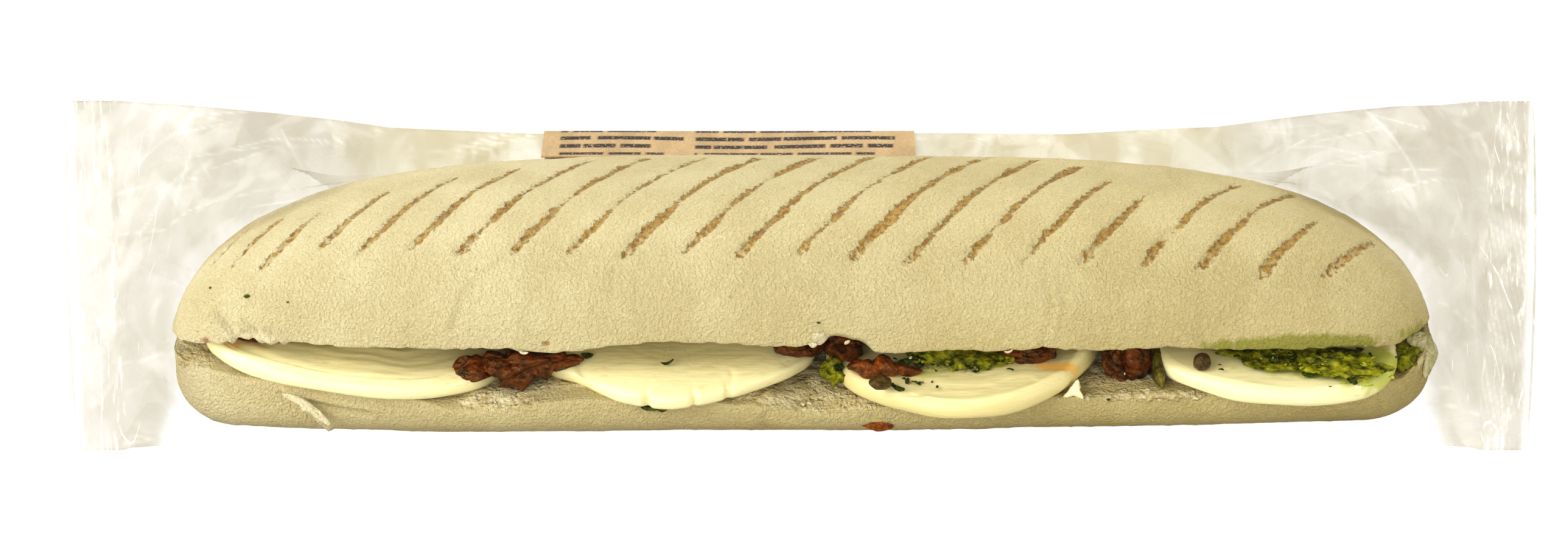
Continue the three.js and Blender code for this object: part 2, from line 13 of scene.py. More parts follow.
import bpy
import numpy as np
from mathutils import Euler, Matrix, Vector


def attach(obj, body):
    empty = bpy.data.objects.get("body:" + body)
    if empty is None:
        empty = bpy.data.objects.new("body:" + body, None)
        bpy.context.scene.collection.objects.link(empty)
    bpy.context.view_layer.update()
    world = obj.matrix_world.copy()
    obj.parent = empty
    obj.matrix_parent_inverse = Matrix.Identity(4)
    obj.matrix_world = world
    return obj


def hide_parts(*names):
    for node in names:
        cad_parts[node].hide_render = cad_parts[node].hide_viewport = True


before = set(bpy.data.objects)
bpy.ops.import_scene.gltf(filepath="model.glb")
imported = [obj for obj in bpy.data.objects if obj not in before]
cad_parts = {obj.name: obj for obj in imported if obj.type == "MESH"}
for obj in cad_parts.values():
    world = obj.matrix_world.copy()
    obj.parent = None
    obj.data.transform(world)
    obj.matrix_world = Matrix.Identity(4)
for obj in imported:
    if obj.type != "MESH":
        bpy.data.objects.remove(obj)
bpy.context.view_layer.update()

LOG = logging.getLogger("panini")
MM = 0.001
SAME_PLACE = 1e-7
FAR = 99.0

Array = np.ndarray
Pair = tuple[float, float]
Point = tuple[float, float, float]
Line = tuple[Pair, ...]
Colour = tuple[float, float, float, float]
Piece = bpy.types.Object
Material = bpy.types.Material
Tree = bpy.types.NodeTree
Node = bpy.types.Node
Socket = bpy.types.NodeSocket
Amount = Socket | float


def tone(red: int, green: int, blue: int) -> Colour:
    """Linear colour, as the shaders take it, of a screen colour of 0 to 255."""
    linear = [(c / 255 / 12.92) if c <= 10 else ((c / 255 + 0.055) / 1.055) ** 2.4
              for c in (red, green, blue)]
    return (*linear, 1.0)


def ramp(value: Array | float, low: float, high: float) -> Array:
    """Share of a rise from 0 at low to 1 at high, smooth at both ends."""
    share = np.clip((value - low) / (high - low), 0.0, 1.0)
    return share * share * (3 - 2 * share)


def along_line(points: Line, x: Array) -> Array:
    """Value at x on a smooth line through (x, value) points.

    Args:
        points: The line's points, in order of x.
        x: Where to read it.

    Returns:
        The values, held level outside the first and last point.
    """
    places = np.array([p[0] for p in points], float)
    values = np.array([p[1] for p in points], float)
    x = np.clip(np.asarray(x, float), places[0], places[-1])
    after = np.clip(np.searchsorted(places, x), 1, len(places) - 1)
    share = (x - places[after - 1]) / (places[after] - places[after - 1])
    share = share * share * (3 - 2 * share)
    return values[after - 1] + (values[after] - values[after - 1]) * share


def super_round(u: Array, power: Array | float) -> Array:
    """Height, 0 to 1, of a superellipse over a place across, -1 to 1; power is its squareness."""
    return (1 - np.minimum(1.0, np.abs(u)) ** power) ** (1 / power)


def resample(line: Array, shares: Array) -> Array:
    """Points at given shares of a polyline's length.

    Args:
        line: Points of the polyline, one a row.
        shares: Shares of its length, 0 to 1.

    Returns:
        One point a share.
    """
    reach = np.concatenate([[0.0], np.cumsum(np.linalg.norm(np.diff(line, axis=0), axis=1))])
    reach /= reach[-1]
    return np.stack([np.interp(shares, reach, line[:, k]) for k in range(line.shape[1])], axis=1)


def closed_curve(outline: Line, count: int) -> Array:
    """Points on a smooth closed curve through corners.

    Args:
        outline: The corners.
        count: How many points, with as many for each side.

    Returns:
        The points, one a row.
    """
    corners = np.array(outline, float)
    place = np.linspace(0, 1, count, endpoint=False) * len(corners)
    side = np.floor(place).astype(int)
    t = (place - side)[:, None]
    p0, p1, p2, p3 = (corners[(side + k) % len(corners)] for k in (-1, 0, 1, 2))
    return 0.5 * (2 * p1 + (p2 - p0) * t + (2 * p0 - 5 * p1 + 4 * p2 - p3) * t ** 2
                  + (3 * p1 - p0 - 3 * p2 + p3) * t ** 3)


def hull_of(points: Array) -> Array:
    """Convex outline of flat points.

    Args:
        points: Flat points, one a row.

    Returns:
        The outline's corners, anticlockwise.
    """
    order = points[np.lexsort((points[:, 1], points[:, 0]))]
    corners: list[Array] = []
    for run in (order, order[::-1]):
        side: list[Array] = []
        for point in run:
            while len(side) > 1:
                a, b = side[-1] - side[-2], point - side[-1]
                if a[0] * b[1] - a[1] * b[0] > 0:
                    break
                side.pop()
            side.append(point)
        corners += side[:-1]
    return np.array(corners)


class Relief:
    """Seeded lattice noise that is read at whole arrays of points at once."""

    CELLS = 48

    def __init__(self, seed: int) -> None:
        """Draw the lattice of one seed."""
        self.values = np.random.default_rng(seed).uniform(-1.0, 1.0, (self.CELLS,) * 3)

    def at(self, points: Array, size: float | Sequence[float]) -> Array:
        """Smooth noise.

        Args:
            points: Positions, in the last axis.
            size: Size of a swelling, all round or along each axis.

        Returns:
            Values from -1 to 1, one a point.
        """
        scaled = points / np.asarray(size, float)
        cell = np.floor(scaled).astype(int)
        part = scaled - cell
        part = part * part * (3 - 2 * part)
        total = np.zeros(points.shape[:-1])
        for corner in np.ndindex(2, 2, 2):
            ix, iy, iz = np.moveaxis((cell + corner) % self.CELLS, -1, 0)
            weight = np.prod(np.where(np.array(corner, bool), part, 1 - part), axis=-1)
            total += weight * self.values[ix, iy, iz]
        return total

    def layered(self, points: Array, size: float, layers: int = 3) -> Array:
        """Noise with finer and fainter noise on it, in layers of half the size each."""
        return sum(self.at(points + 7.3 * k, size / 2 ** k) / 2 ** k for k in range(layers)) / 1.6

    def ridged(self, points: Array, size: float | Sequence[float]) -> Array:
        """Sharp ridges on smooth ground, from 0 in the valleys to 1 on the ridges."""
        return (1 - np.abs(self.at(points, size))) ** 3


def outward(table: Array) -> Array:
    """Directions out of a closed tube of points.

    Args:
        table: Points as rows of closed rings.

    Returns:
        Unit directions, one a point.
    """
    along = np.gradient(table, axis=0)
    across = np.roll(table, -1, axis=1) - np.roll(table, 1, axis=1)
    normals = np.cross(along, across)
    normals /= np.linalg.norm(normals, axis=-1, keepdims=True) + 1e-9
    centre = table.mean(axis=1, keepdims=True)
    return normals if (normals * (table - centre)).sum() > 0 else -normals


def start_piece(name: str) -> Piece:
    """Name the primitive just added, which is the only thing selected.

    Args:
        name: Name of the piece.

    Returns:
        The new object.
    """
    piece = bpy.context.object
    piece.name = name
    piece.data.name = name
    return piece


def deselect() -> None:
    """Leave nothing selected, so that an operator acts on the next primitive alone."""
    bpy.ops.object.select_all(action="DESELECT")


def select_only(piece: Piece) -> None:
    """Select one piece alone, for an operator that works on it.

    Args:
        piece: The piece.
    """
    deselect()
    piece.select_set(True)
    bpy.context.view_layer.objects.active = piece


def points_of(piece: Piece) -> Array:
    """Vertices of a mesh, one a row, in its own units."""
    return np.array([vertex.co for vertex in piece.data.vertices], float)


def place_points(piece: Piece, points: Array) -> None:
    """Move a mesh's vertices to points in millimetres."""
    piece.data.vertices.foreach_set("co", (points * MM).ravel())
    piece.data.update()


def paint(piece: Piece, name: str, values: Array) -> None:
    """Keep one value a vertex, for the materials to read."""
    piece.data.attributes.new(name, "FLOAT", "POINT").data.foreach_set("value", values.ravel())


def close_up(piece: Piece, angle: float = 40.0) -> None:
    """Merge seams and poles, turn the faces outwards and smooth them.

    Args:
        piece: The piece, whose mesh is in its final place.
        angle: Edges sharper than this many degrees stay crisp.
    """
    select_only(piece)
    bpy.ops.object.mode_set(mode="EDIT")
    bpy.ops.mesh.select_all(action="SELECT")
    bpy.ops.mesh.remove_doubles(threshold=SAME_PLACE)
    bpy.ops.mesh.normals_make_consistent(inside=False)
    bpy.ops.object.mode_set(mode="OBJECT")
    bpy.ops.object.shade_smooth_by_angle(angle=math.radians(angle))


def closed_shell(name: str, table: Array, painted: dict[str, Array] | None = None,
                 angle: float = 40.0) -> Piece:
    """Bend a grid into a closed tube and draw its two ends shut.

    Args:
        name: Name of the piece.
        table: Points as rows of closed rings.
        painted: Values to keep, one a point, by attribute name.
        angle: Edges sharper than this many degrees stay crisp.

    Returns:
        The finished piece.
    """
    def with_ends(values: Array) -> Array:
        """Values with each end row's mean put beyond it."""
        first, last = (np.repeat(values[[k]].mean(axis=1, keepdims=True), values.shape[1], axis=1)
                       for k in (0, -1))
        return np.concatenate([first, values, last])

    rows, columns = table.shape[0] + 2, table.shape[1]
    deselect()
    bpy.ops.mesh.primitive_grid_add(x_subdivisions=rows - 1, y_subdivisions=columns, size=2)
    piece = start_piece(name)
    flat = points_of(piece)
    row = np.rint((flat[:, 0] + 1) / 2 * (rows - 1)).astype(int)
    column = np.rint((flat[:, 1] + 1) / 2 * columns).astype(int) % columns
    place_points(piece, with_ends(table)[row, column])
    for key, values in (painted or {}).items():
        paint(piece, key, with_ends(values)[row, column])
    close_up(piece, angle)
    return piece


class Graph:
    """Short calls that add nodes to a tree and hand back their sockets."""

    def __init__(self, tree: Tree) -> None:
        """Work on one tree."""
        self.tree = tree

    def add(self, kind: str, **settings: object) -> Node:
        """Add a node and set its options.

        Args:
            kind: Type name of the node.
            settings: Options by their names.

        Returns:
            The node.
        """
        node = self.tree.nodes.new(kind)
        for key, value in settings.items():
            setattr(node, key, value)
        return node

    def feed(self, socket: Socket, value: Socket | object) -> None:
        """Link a socket, or set its plain value.

        Args:
            socket: The input.
            value: The socket that it reads, or its plain value.
        """
        if isinstance(value, Socket):
            self.tree.links.new(value, socket)
        else:
            socket.default_value = value

    def fill(self, node: Node, **values: Socket | object) -> None:
        """Feed a node's inputs by their names, with underscores for spaces."""
        for key, value in values.items():
            self.feed(node.inputs[key.replace("_", " ")], value)

    def place(self, stretch: Sequence[float] = (1.0, 1.0, 1.0), turn: float = 0.0) -> Socket:
        """Object coordinates in millimetres.

        Args:
            stretch: Scale along each axis.
            turn: Turn about Z, in degrees.

        Returns:
            The vector socket.
        """
        node = self.add("ShaderNodeMapping")
        self.fill(node, Vector=self.add("ShaderNodeTexCoord").outputs["Object"],
                  Rotation=(0.0, 0.0, math.radians(turn)), Scale=[s / MM for s in stretch])
        return node.outputs[0]

    def attribute(self, name: str) -> Socket:
        """Value kept at the vertices under a name."""
        return self.add("ShaderNodeAttribute", attribute_name=name).outputs["Fac"]

    def noise(self, where: Socket, size: Amount, detail: float = 2.0, rough: float = 0.5,
              warp: float = 0.0) -> Socket:
        """Cloudy noise.

        Args:
            where: Coordinates.
            size: Size of a cloud.
            detail: Layers of finer noise.
            rough: Strength of each finer layer.
            warp: How far the clouds are pulled about.

        Returns:
            Value socket, about 0.3 to 0.7.
        """
        node = self.add("ShaderNodeTexNoise")
        scale = self.step("DIVIDE", 1.0, size) if isinstance(size, Socket) else 1 / size
        self.fill(node, Vector=where, Scale=scale, Detail=detail, Roughness=rough, Distortion=warp)
        return node.outputs["Fac"]

    def cells(self, where: Socket, size: float, feature: str = "F1", output: str = "Distance"
              ) -> Socket:
        """Scattered cells.

        Args:
            where: Coordinates.
            size: Spacing of the cells.
            feature: Which distance the cells give.
            output: Which output is read.

        Returns:
            The socket of that output.
        """
        node = self.add("ShaderNodeTexVoronoi", feature=feature)
        self.fill(node, Vector=where, Scale=1 / size)
        return node.outputs[output]

    def step(self, operation: str, a: Amount, b: Amount = 0.0) -> Socket:
        """One step of arithmetic.

        Args:
            operation: Name of the step, such as DIVIDE.
            a: First value.
            b: Second value.

        Returns:
            The result's socket.
        """
        node = self.add("ShaderNodeMath", operation=operation)
        self.feed(node.inputs[0], a)
        self.feed(node.inputs[1], b)
        return node.outputs[0]

    def plus(self, a: Amount, b: Amount) -> Socket:
        """Two values added up."""
        return self.step("ADD", a, b)

    def minus(self, a: Amount, b: Amount) -> Socket:
        """The first value less the second."""
        return self.step("SUBTRACT", a, b)

    def times(self, a: Amount, b: Amount) -> Socket:
        """Two values multiplied."""
        return self.step("MULTIPLY", a, b)

    def span(self, value: Socket, low: float, high: float, start: float = 0.0, end: float = 1.0
             ) -> Socket:
        """Spread a range of a value over another range, smoothly.

        Args:
            value: The value.
            low: Where the range starts.
            high: Where it ends.
            start: Result at low.
            end: Result at high.

        Returns:
            The result's socket.
        """
        node = self.add("ShaderNodeMapRange", interpolation_type="SMOOTHSTEP")
        for index, item in enumerate((value, low, high, start, end)):
            self.feed(node.inputs[index], item)
        return node.outputs[0]

    def blend(self, share: Amount, a: Socket | Colour, b: Socket | Colour,
              mode: str = "MIX") -> Socket:
        """Mix two colours.

        Args:
            share: How much of the second.
            a: First colour.
            b: Second colour.
            mode: Way of mixing.

        Returns:
            The colour socket.
        """
        node = self.add("ShaderNodeMix", data_type="RGBA", blend_type=mode)
        for index, item in ((0, share), (6, a), (7, b)):
            self.feed(node.inputs[index], item)
        return node.outputs[2]

    def bump(self, height: Socket, depth: float, strength: float = 1.0) -> Socket:
        """Normals of a fine relief.

        Args:
            height: Height, 0 to 1.
            depth: Depth of the relief.
            strength: How much of it counts.

        Returns:
            The normal socket.
        """
        node = self.add("ShaderNodeBump")
        self.fill(node, Strength=strength, Distance=depth * MM, Height=height)
        return node.outputs[0]

    def use(self, tree: Tree, **values: Socket | object) -> Node:
        """Place a shared effect with its own values.

        Args:
            tree: The effect's group.
            values: Its inputs by name, with underscores for spaces.

        Returns:
            The group node.
        """
        node = self.add("ShaderNodeGroup", node_tree=tree)
        self.fill(node, **values)
        return node


def new_effect(name: str, inputs: dict[str, tuple[str, object]], outputs: dict[str, str]
               ) -> tuple[Tree, Graph, Node, Node]:
    """Start a shared effect.

    Args:
        name: Name of the effect.
        inputs: Kind and first value of each input.
        outputs: Kind of each output.

    Returns:
        The group, its graph, its input node and its output node.
    """
    tree = bpy.data.node_groups.new(name, "ShaderNodeTree")
    for key, (kind, value) in inputs.items():
        socket = tree.interface.new_socket(key, in_out="INPUT", socket_type=f"NodeSocket{kind}")
        socket.default_value = value
    for key, kind in outputs.items():
        tree.interface.new_socket(key, in_out="OUTPUT", socket_type=f"NodeSocket{kind}")
    graph = Graph(tree)
    return tree, graph, graph.add("NodeGroupInput"), graph.add("NodeGroupOutput")


class Effects:
    """Shader effects that more than one material uses, each made once."""

    def __init__(self) -> None:
        """Make every effect."""
        self.mottle = self.make_mottle()
        self.stain = self.make_stain()

    def make_mottle(self) -> Tree:
        """Cloudy patches and fine grain between two colours.

        Returns:
            The effect: Place, Patch, Grain and two colours in; Colour and Height out.
        """
        tree, graph, given, result = new_effect(
            "mottle",
            {"Place": ("Vector", (0, 0, 0)), "Patch": ("Float", 10.0), "Grain": ("Float", 1.0),
             "Pale": ("Color", (1, 1, 1, 1)), "Deep": ("Color", (0.5, 0.5, 0.5, 1))},
            {"Colour": "Color", "Height": "Float"})
        place, patch, grain, pale, deep = given.outputs[:5]
        patch = graph.span(graph.noise(place, patch, 3.0), 0.35, 0.65)
        grain = graph.span(graph.noise(place, grain, 3.0), 0.32, 0.68)
        share = graph.plus(graph.times(patch, 0.62), graph.times(grain, 0.38))
        graph.fill(result, Colour=graph.blend(share, deep, pale), Height=grain)
        return tree

    def make_stain(self) -> Tree:
        """A soaked-in stain with a ragged edge.

        Returns:
            The effect: Place, Amount and Size in; Mask out.
        """
        tree, graph, given, result = new_effect(
            "stain",
            {"Place": ("Vector", (0, 0, 0)), "Amount": ("Float", 0.0), "Size": ("Float", 2.0)},
            {"Mask": "Float"})
        place, amount, size = given.outputs[:3]
        ragged = graph.times(graph.minus(graph.noise(place, size, 4.0), 0.5), 1.1)
        soaked = graph.span(graph.plus(amount, ragged), 0.25, 0.85)
        graph.fill(result, Mask=graph.times(soaked, graph.span(amount, 0.02, 0.3)))
        return tree


def new_finish(name: str) -> tuple[Material, Graph, Node]:
    """Start a material.

    Args:
        name: Name of the material.

    Returns:
        The material, its graph and its surface shader.
    """
    material = bpy.data.materials.new(name)
    material.use_nodes = True
    return material, Graph(material.node_tree), material.node_tree.nodes["Principled BSDF"]


@dataclass(frozen=True)
class CrustFinish:
    """Pale floury crust with brown grill marks, and open crumb on the cut faces."""

    pale: Colour = tone(221, 208, 165)
    deep: Colour = tone(206, 191, 144)
    mark: Colour = tone(184, 148, 72)
    char: Colour = tone(144, 106, 42)
    torn: Colour = tone(232, 219, 178)
    crumb_pale: Colour = tone(243, 229, 182)
    crumb_deep: Colour = tone(193, 171, 112)
    herb_oil: Colour = tone(136, 135, 30)
    juice: Colour = tone(140, 86, 36)
    # Multiplied in as painted shade: darker towards the right end and the lower parts of the crust.
    painted_shade: Colour = tone(228, 221, 190)
    mark_half_width: float = 0.8

    def material(self, effects: Effects) -> Material:
        """Build the material.

        Args:
            effects: The shared effects.

        Returns:
            The material.
        """
        material, graph, surface = new_finish("crust")
        place = graph.place()
        skin = graph.use(effects.mottle, Place=place, Patch=15.0, Grain=0.6,
                         Pale=self.pale, Deep=self.deep)
        flour = graph.span(graph.noise(graph.place((1.0, 1.0, 0.6)), 0.5, 3.0, 0.6), 0.54, 0.7)
        colour = graph.blend(graph.times(flour, 0.28), skin.outputs["Colour"], self.torn)
        # Painted shade: this attribute darkens the crust towards the right end and down low.
        colour = graph.blend(graph.attribute("painted_shade"), colour,
                             graph.blend(1.0, colour, self.painted_shade, "MULTIPLY"))
        freckle = graph.span(graph.cells(place, 5.2), 0.075, 0.045)
        colour = graph.blend(graph.times(freckle, 0.55), colour, self.mark)
        bared = graph.span(graph.attribute("pale"), 0.1, 1.0, 0.0, 0.8)
        colour = graph.blend(bared, colour, self.torn)

        open_crumb = graph.use(effects.mottle, Place=place, Patch=4.0, Grain=0.7,
                               Pale=self.crumb_pale, Deep=self.crumb_deep)
        ragged = graph.minus(graph.noise(place, 1.5, 3.0), 0.5)
        crumb = graph.span(graph.plus(graph.attribute("crumb"), ragged), 0.35, 0.65)
        colour = graph.blend(crumb, colour, open_crumb.outputs["Colour"])

        brown, edge, frayed = self.marks(graph, place)
        colour = graph.blend(graph.times(frayed, 0.85), colour, self.torn)
        burnt = graph.blend(graph.span(graph.noise(place, 1.3, 3.0), 0.38, 0.62), self.mark, self.char)
        burnt = graph.blend(graph.times(edge, 0.22), burnt, self.char)
        colour = graph.blend(brown, colour, burnt)

        for name, oil, size in (("green", self.herb_oil, 1.5), ("brown", self.juice, 1.2)):
            stain = graph.use(effects.stain, Place=graph.place((1.0, 1.0, 0.55)),
                              Amount=graph.attribute(name), Size=size)
            colour = graph.blend(graph.times(stain.outputs["Mask"], 0.8), colour, oil)
        fine = graph.noise(graph.place((1.0, 1.0, 0.7)), 0.55, 4.0, 0.66)
        pores = graph.span(graph.cells(place, 1.5), 0.1, 0.5)
        crepe = graph.noise(graph.place((1.0, 1.0, 0.8)), 1.4, 4.0, 0.7)
        relief = graph.plus(graph.times(skin.outputs["Height"], 0.5), fine)
        relief = graph.plus(relief, graph.times(crepe, 0.9))
        relief = graph.plus(relief, graph.times(crumb, pores))
        relief = graph.minus(relief, graph.times(brown, 0.6))
        graph.fill(surface, Base_Color=colour, Roughness=0.62, Specular_IOR_Level=0.28,
                   Normal=graph.bump(relief, 0.58))
        return material

    def marks(self, graph: Graph, place: Socket) -> tuple[Socket, Socket, Socket]:
        """Masks of the grill marks.

        Args:
            graph: The material's graph.
            place: Coordinates.

        Returns:
            How brown the crust is, where a mark's darker edge runs, and where its skin is frayed.
        """
        strength = graph.attribute("mark")
        wide = graph.times(graph.plus(strength, 0.25), self.mark_half_width)
        ragged = graph.times(graph.minus(graph.noise(place, 1.1, 4.0, 0.7), 0.5), 3.0)
        inside = graph.minus(graph.plus(wide, ragged), graph.attribute("mark_distance"))
        weak = graph.times(graph.minus(1.0, strength), 1.3)
        inside = graph.minus(inside, weak)
        brown = graph.span(inside, -0.12, 0.34)
        edge = graph.minus(brown, graph.span(inside, 0.25, 0.8))
        bald = graph.span(graph.noise(place, 1.0, 3.0), 0.42, 0.56)
        worn = graph.times(graph.attribute("mark_torn"), bald)
        frayed = graph.times(graph.span(inside, -0.5, 0.2), worn)
        brown = graph.times(brown, graph.minus(1.0, worn))
        return brown, edge, frayed


@dataclass(frozen=True)
class CheeseFinish:
    """Moist mozzarella, pulled in faint layers, with oil soaked into it in places, a painted shadow under
    the upper half's rim and upward faces painted lighter.
    """

    pale: Colour = tone(236, 226, 172)
    # Lighter colour given to upward faces: painted light that lifts the tops lying in the shade of the
    # upper half.
    deep: Colour = tone(244, 232, 174)
    dull: Colour = tone(214, 198, 134)
    # Colour of the painted shadow where a slice runs in under the upper half's rim.
    rim_shade: Colour = tone(92, 78, 40)
    herb_oil: Colour = tone(178, 182, 60)
    tomato_oil: Colour = tone(232, 174, 72)

    def material(self, effects: Effects) -> Material:
        """Build the material.

        Args:
            effects: The shared effects.

        Returns:
            The material.
        """
        material, graph, surface = new_finish("mozzarella")
        place = graph.place()
        body = graph.use(effects.mottle, Place=place, Patch=9.0, Grain=1.6,
                         Pale=self.pale, Deep=self.deep)
        layers = graph.noise(graph.place((0.16, 1.0, 2.4), 8.0), 1.6, 3.0, 0.6)
        # Painted light: upward faces, by the top attribute, blend towards the lighter deep colour.
        colour = graph.blend(graph.span(graph.attribute("top"), 0.2, 0.9, 0.0, 0.8),
                             body.outputs["Colour"], self.deep)
        colour = graph.blend(graph.span(layers, 0.5, 0.66, 0.0, 0.35), colour, self.pale)
        colour = graph.blend(graph.span(layers, 0.44, 0.32, 0.0, 0.4), colour, self.dull)
        colour = graph.blend(graph.attribute("dull"), colour, self.dull)
        for name, oil in (("green", self.herb_oil), ("brown", self.tomato_oil)):
            stain = graph.use(effects.stain, Place=place, Amount=graph.attribute(name), Size=3.0)
            colour = graph.blend(graph.times(stain.outputs["Mask"], 0.85), colour, oil)
        # Painted shadow under the upper half's rim, from the inside attribute.
        colour = graph.blend(graph.attribute("inside"), colour, self.rim_shade)
        graph.fill(surface, Base_Color=colour, Roughness=0.34, Subsurface_Weight=0.12,
                   Subsurface_Radius=(2.2, 1.8, 1.0), Subsurface_Scale=MM,
                   Normal=graph.bump(layers, 0.22, 0.7))
        return material


@dataclass(frozen=True)
class JuicyFinish:
    """Dark, wet food: dried tomato, capers, leaves and herb paste."""

    name: str
    pale: Colour
    deep: Colour
    patch: float
    grain: float
    roughness: float = 0.3
    relief: float = 0.25
    glow: float = 0.0
    shine: Colour = (1.0, 0.74, 0.36, 1.0)
    shine_level: float = 0.36

    def material(self, effects: Effects) -> Material:
        """Build the material.

        Args:
            effects: The shared effects.

        Returns:
            The material.
        """
        material, graph, surface = new_finish(self.name)
        place = graph.place()
        body = graph.use(effects.mottle, Place=place, Patch=self.patch, Grain=self.grain,
                         Pale=self.pale, Deep=self.deep)
        wet = graph.span(graph.noise(place, 1.4, 2.0), 0.4, 0.6, self.roughness * 0.6,
                         self.roughness * 1.4)
        graph.fill(surface, Base_Color=body.outputs["Colour"], Roughness=wet,
                   Specular_Tint=self.shine, Specular_IOR_Level=self.shine_level,
                   Normal=graph.bump(body.outputs["Height"], self.relief, 0.7))
        if self.glow:
            graph.fill(surface, Subsurface_Weight=self.glow, Subsurface_Radius=(1.4, 0.5, 0.25),
                       Subsurface_Scale=MM)
        return material


@dataclass(frozen=True)
class FilmFinish:
    """Clear film: almost unseen where it lies on the bread, hazy and creased where it hangs free, with
    painted glints and a painted shade in its tint.
    """

    body: Colour = tone(238, 235, 226)
    clear: Colour = (1.0, 1.0, 1.0, 1.0)
    shade: Colour = tone(221, 217, 206)
    warm: Colour = tone(224, 218, 196)
    lay_alpha: float = 0.004
    free_alpha: float = 0.13
    crease_alpha: float = 0.3
    glint_alpha: float = 0.6

    def material(self) -> Material:
        """Build the material.

        Returns:
            The material.
        """
        material, graph, surface = new_finish("film")
        free = graph.attribute("free")
        bands = graph.noise(graph.place((1.0, 0.45, 0.45), 25.0), 9.0, 2.0, 0.5, 1.0)
        haze = graph.span(bands, 0.44, 0.62, 0.5, 1.7)
        alpha = graph.times(graph.times(free, self.free_alpha), haze)
        crease = graph.times(graph.attribute("crease"), self.crease_alpha)
        alpha = graph.plus(graph.plus(alpha, crease), self.lay_alpha)
        glint = graph.times(graph.plus(self.glints(graph), self.crimp_glints(graph)), self.glint_alpha)
        alpha = graph.step("MINIMUM", graph.plus(alpha, glint), 0.95)
        lines = graph.step("MINIMUM", graph.plus(glint, crease), 1.0)
        # Painted highlights: the glints, crimp lines and creases glow white through the emission.
        graph.fill(surface, Base_Color=self.body, Emission_Color=self.clear, Roughness=0.2, IOR=1.5,
                   Emission_Strength=graph.times(lines, 0.3))
        clear = graph.add("ShaderNodeBsdfTransparent")
        facet = graph.span(graph.cells(graph.place((0.9, 0.42, 0.42), 35.0), 13.0, output="Color"),
                           0.3, 0.7, 0.84, 1.0)
        cloud = graph.span(graph.noise(graph.place((0.8, 0.5, 0.5), -20.0), 11.0, 2.0, 0.5, 1.2),
                           0.38, 0.62, 0.8, 1.03)
        # Depth of the film's tint: patchy haze, partly painted shade from how the film's facets face a
        # made-up light.
        haze_and_shade = graph.times(graph.times(facet, cloud), graph.attribute("haze_and_shade"))
        tint = graph.blend(graph.attribute("behind"), self.shade, self.warm)
        graph.fill(clear, Color=graph.blend(haze_and_shade, self.clear, tint))
        mixed = graph.add("ShaderNodeMixShader")
        graph.feed(mixed.inputs[0], alpha)
        graph.feed(mixed.inputs[1], clear.outputs[0])
        graph.feed(mixed.inputs[2], surface.outputs[0])
        graph.fill(material.node_tree.nodes["Material Output"], Surface=mixed.outputs[0])
        return material

    @staticmethod
    def glints(graph: Graph) -> Socket:
        """Painted highlights: short crisp glinting strokes where the film is gathered near its seals.

        Args:
            graph: The material's graph.

        Returns:
            Their mask.
        """
        total: Amount = 0.0
        for turn, size in ((12.0, 8.0), (-50.0, 7.0), (78.0, 6.0)):
            where = graph.place((1.0, 0.17, 0.17), turn)
            middle = graph.minus(graph.noise(where, size, 0.0, 0.5, 0.2), 0.5)
            level = graph.step("ABSOLUTE", middle)
            stroke = graph.span(level, 0.008, 0.002)
            live = graph.span(graph.noise(graph.place((1.0, 0.7, 0.7), turn), 9.0, 2.0), 0.56, 0.66)
            total = graph.plus(total, graph.times(stroke, live))
        return graph.times(graph.step("MINIMUM", total, 1.0), graph.attribute("gather"))

    @staticmethod
    def crimp_glints(graph: Graph) -> Socket:
        """Fine lines pressed into the seals, alongside them, which also glow white as painted highlights.

        Args:
            graph: The material's graph.

        Returns:
            Their mask.
        """
        along = graph.add("ShaderNodeCombineXYZ")
        graph.fill(along, X=graph.attribute("reach"), Y=graph.times(graph.attribute("height"), 0.06))
        lines = graph.span(graph.noise(along.outputs[0], 1.1, 3.0, 0.6), 0.52, 0.62)
        patches = graph.span(graph.noise(graph.place(), 9.0, 2.0), 0.4, 0.6, 0.25, 1.0)
        lines = graph.times(graph.times(lines, patches), 0.5)
        return graph.times(lines, graph.attribute("seal"))


@dataclass(frozen=True)
class PaperFinish:
    """Brown kraft paper with fibres, and plain dark bars where a label has its print."""

    pale: Colour = tone(184, 156, 112)
    deep: Colour = tone(160, 133, 92)
    ink: Colour = tone(44, 33, 24)

    def material(self, effects: Effects) -> Material:
        """Build the material.

        Args:
            effects: The shared effects.

        Returns:
            The material.
        """
        material, graph, surface = new_finish("paper")
        place = graph.place((1.0, 0.35, 0.35))
        sheet = graph.use(effects.mottle, Place=place, Patch=5.0, Grain=0.5,
                          Pale=self.pale, Deep=self.deep)
        bars = graph.attribute("print")
        worn = graph.span(graph.noise(graph.place(), 0.5, 2.0), 0.3, 0.44)
        colour = graph.blend(graph.times(bars, worn), sheet.outputs["Colour"], self.ink)
        graph.fill(surface, Base_Color=colour, Roughness=0.8,
                   Normal=graph.bump(sheet.outputs["Height"], 0.08, 0.6))
        return material


@dataclass(frozen=True)
class FloorFinish:
    """Plain pale studio floor that throws little light back up."""

    colour: Colour = (0.16, 0.16, 0.16, 1.0)
    bounce: Colour = (0.6, 0.6, 0.6, 1.0)
    light: Colour = (1.0, 1.0, 1.0, 1.0)
    glow: float = 0.86

    def material(self) -> Material:
        """Build the material.

        Returns:
            The material.
        """
        material, graph, surface = new_finish("floor")
        seen = graph.add("ShaderNodeLightPath").outputs["Is Camera Ray"]
        graph.fill(surface, Base_Color=graph.blend(seen, self.bounce, self.colour),
                   Emission_Strength=graph.times(seen, self.glow), Emission_Color=self.light,
                   Roughness=0.9, Specular_IOR_Level=0.0)
        return material


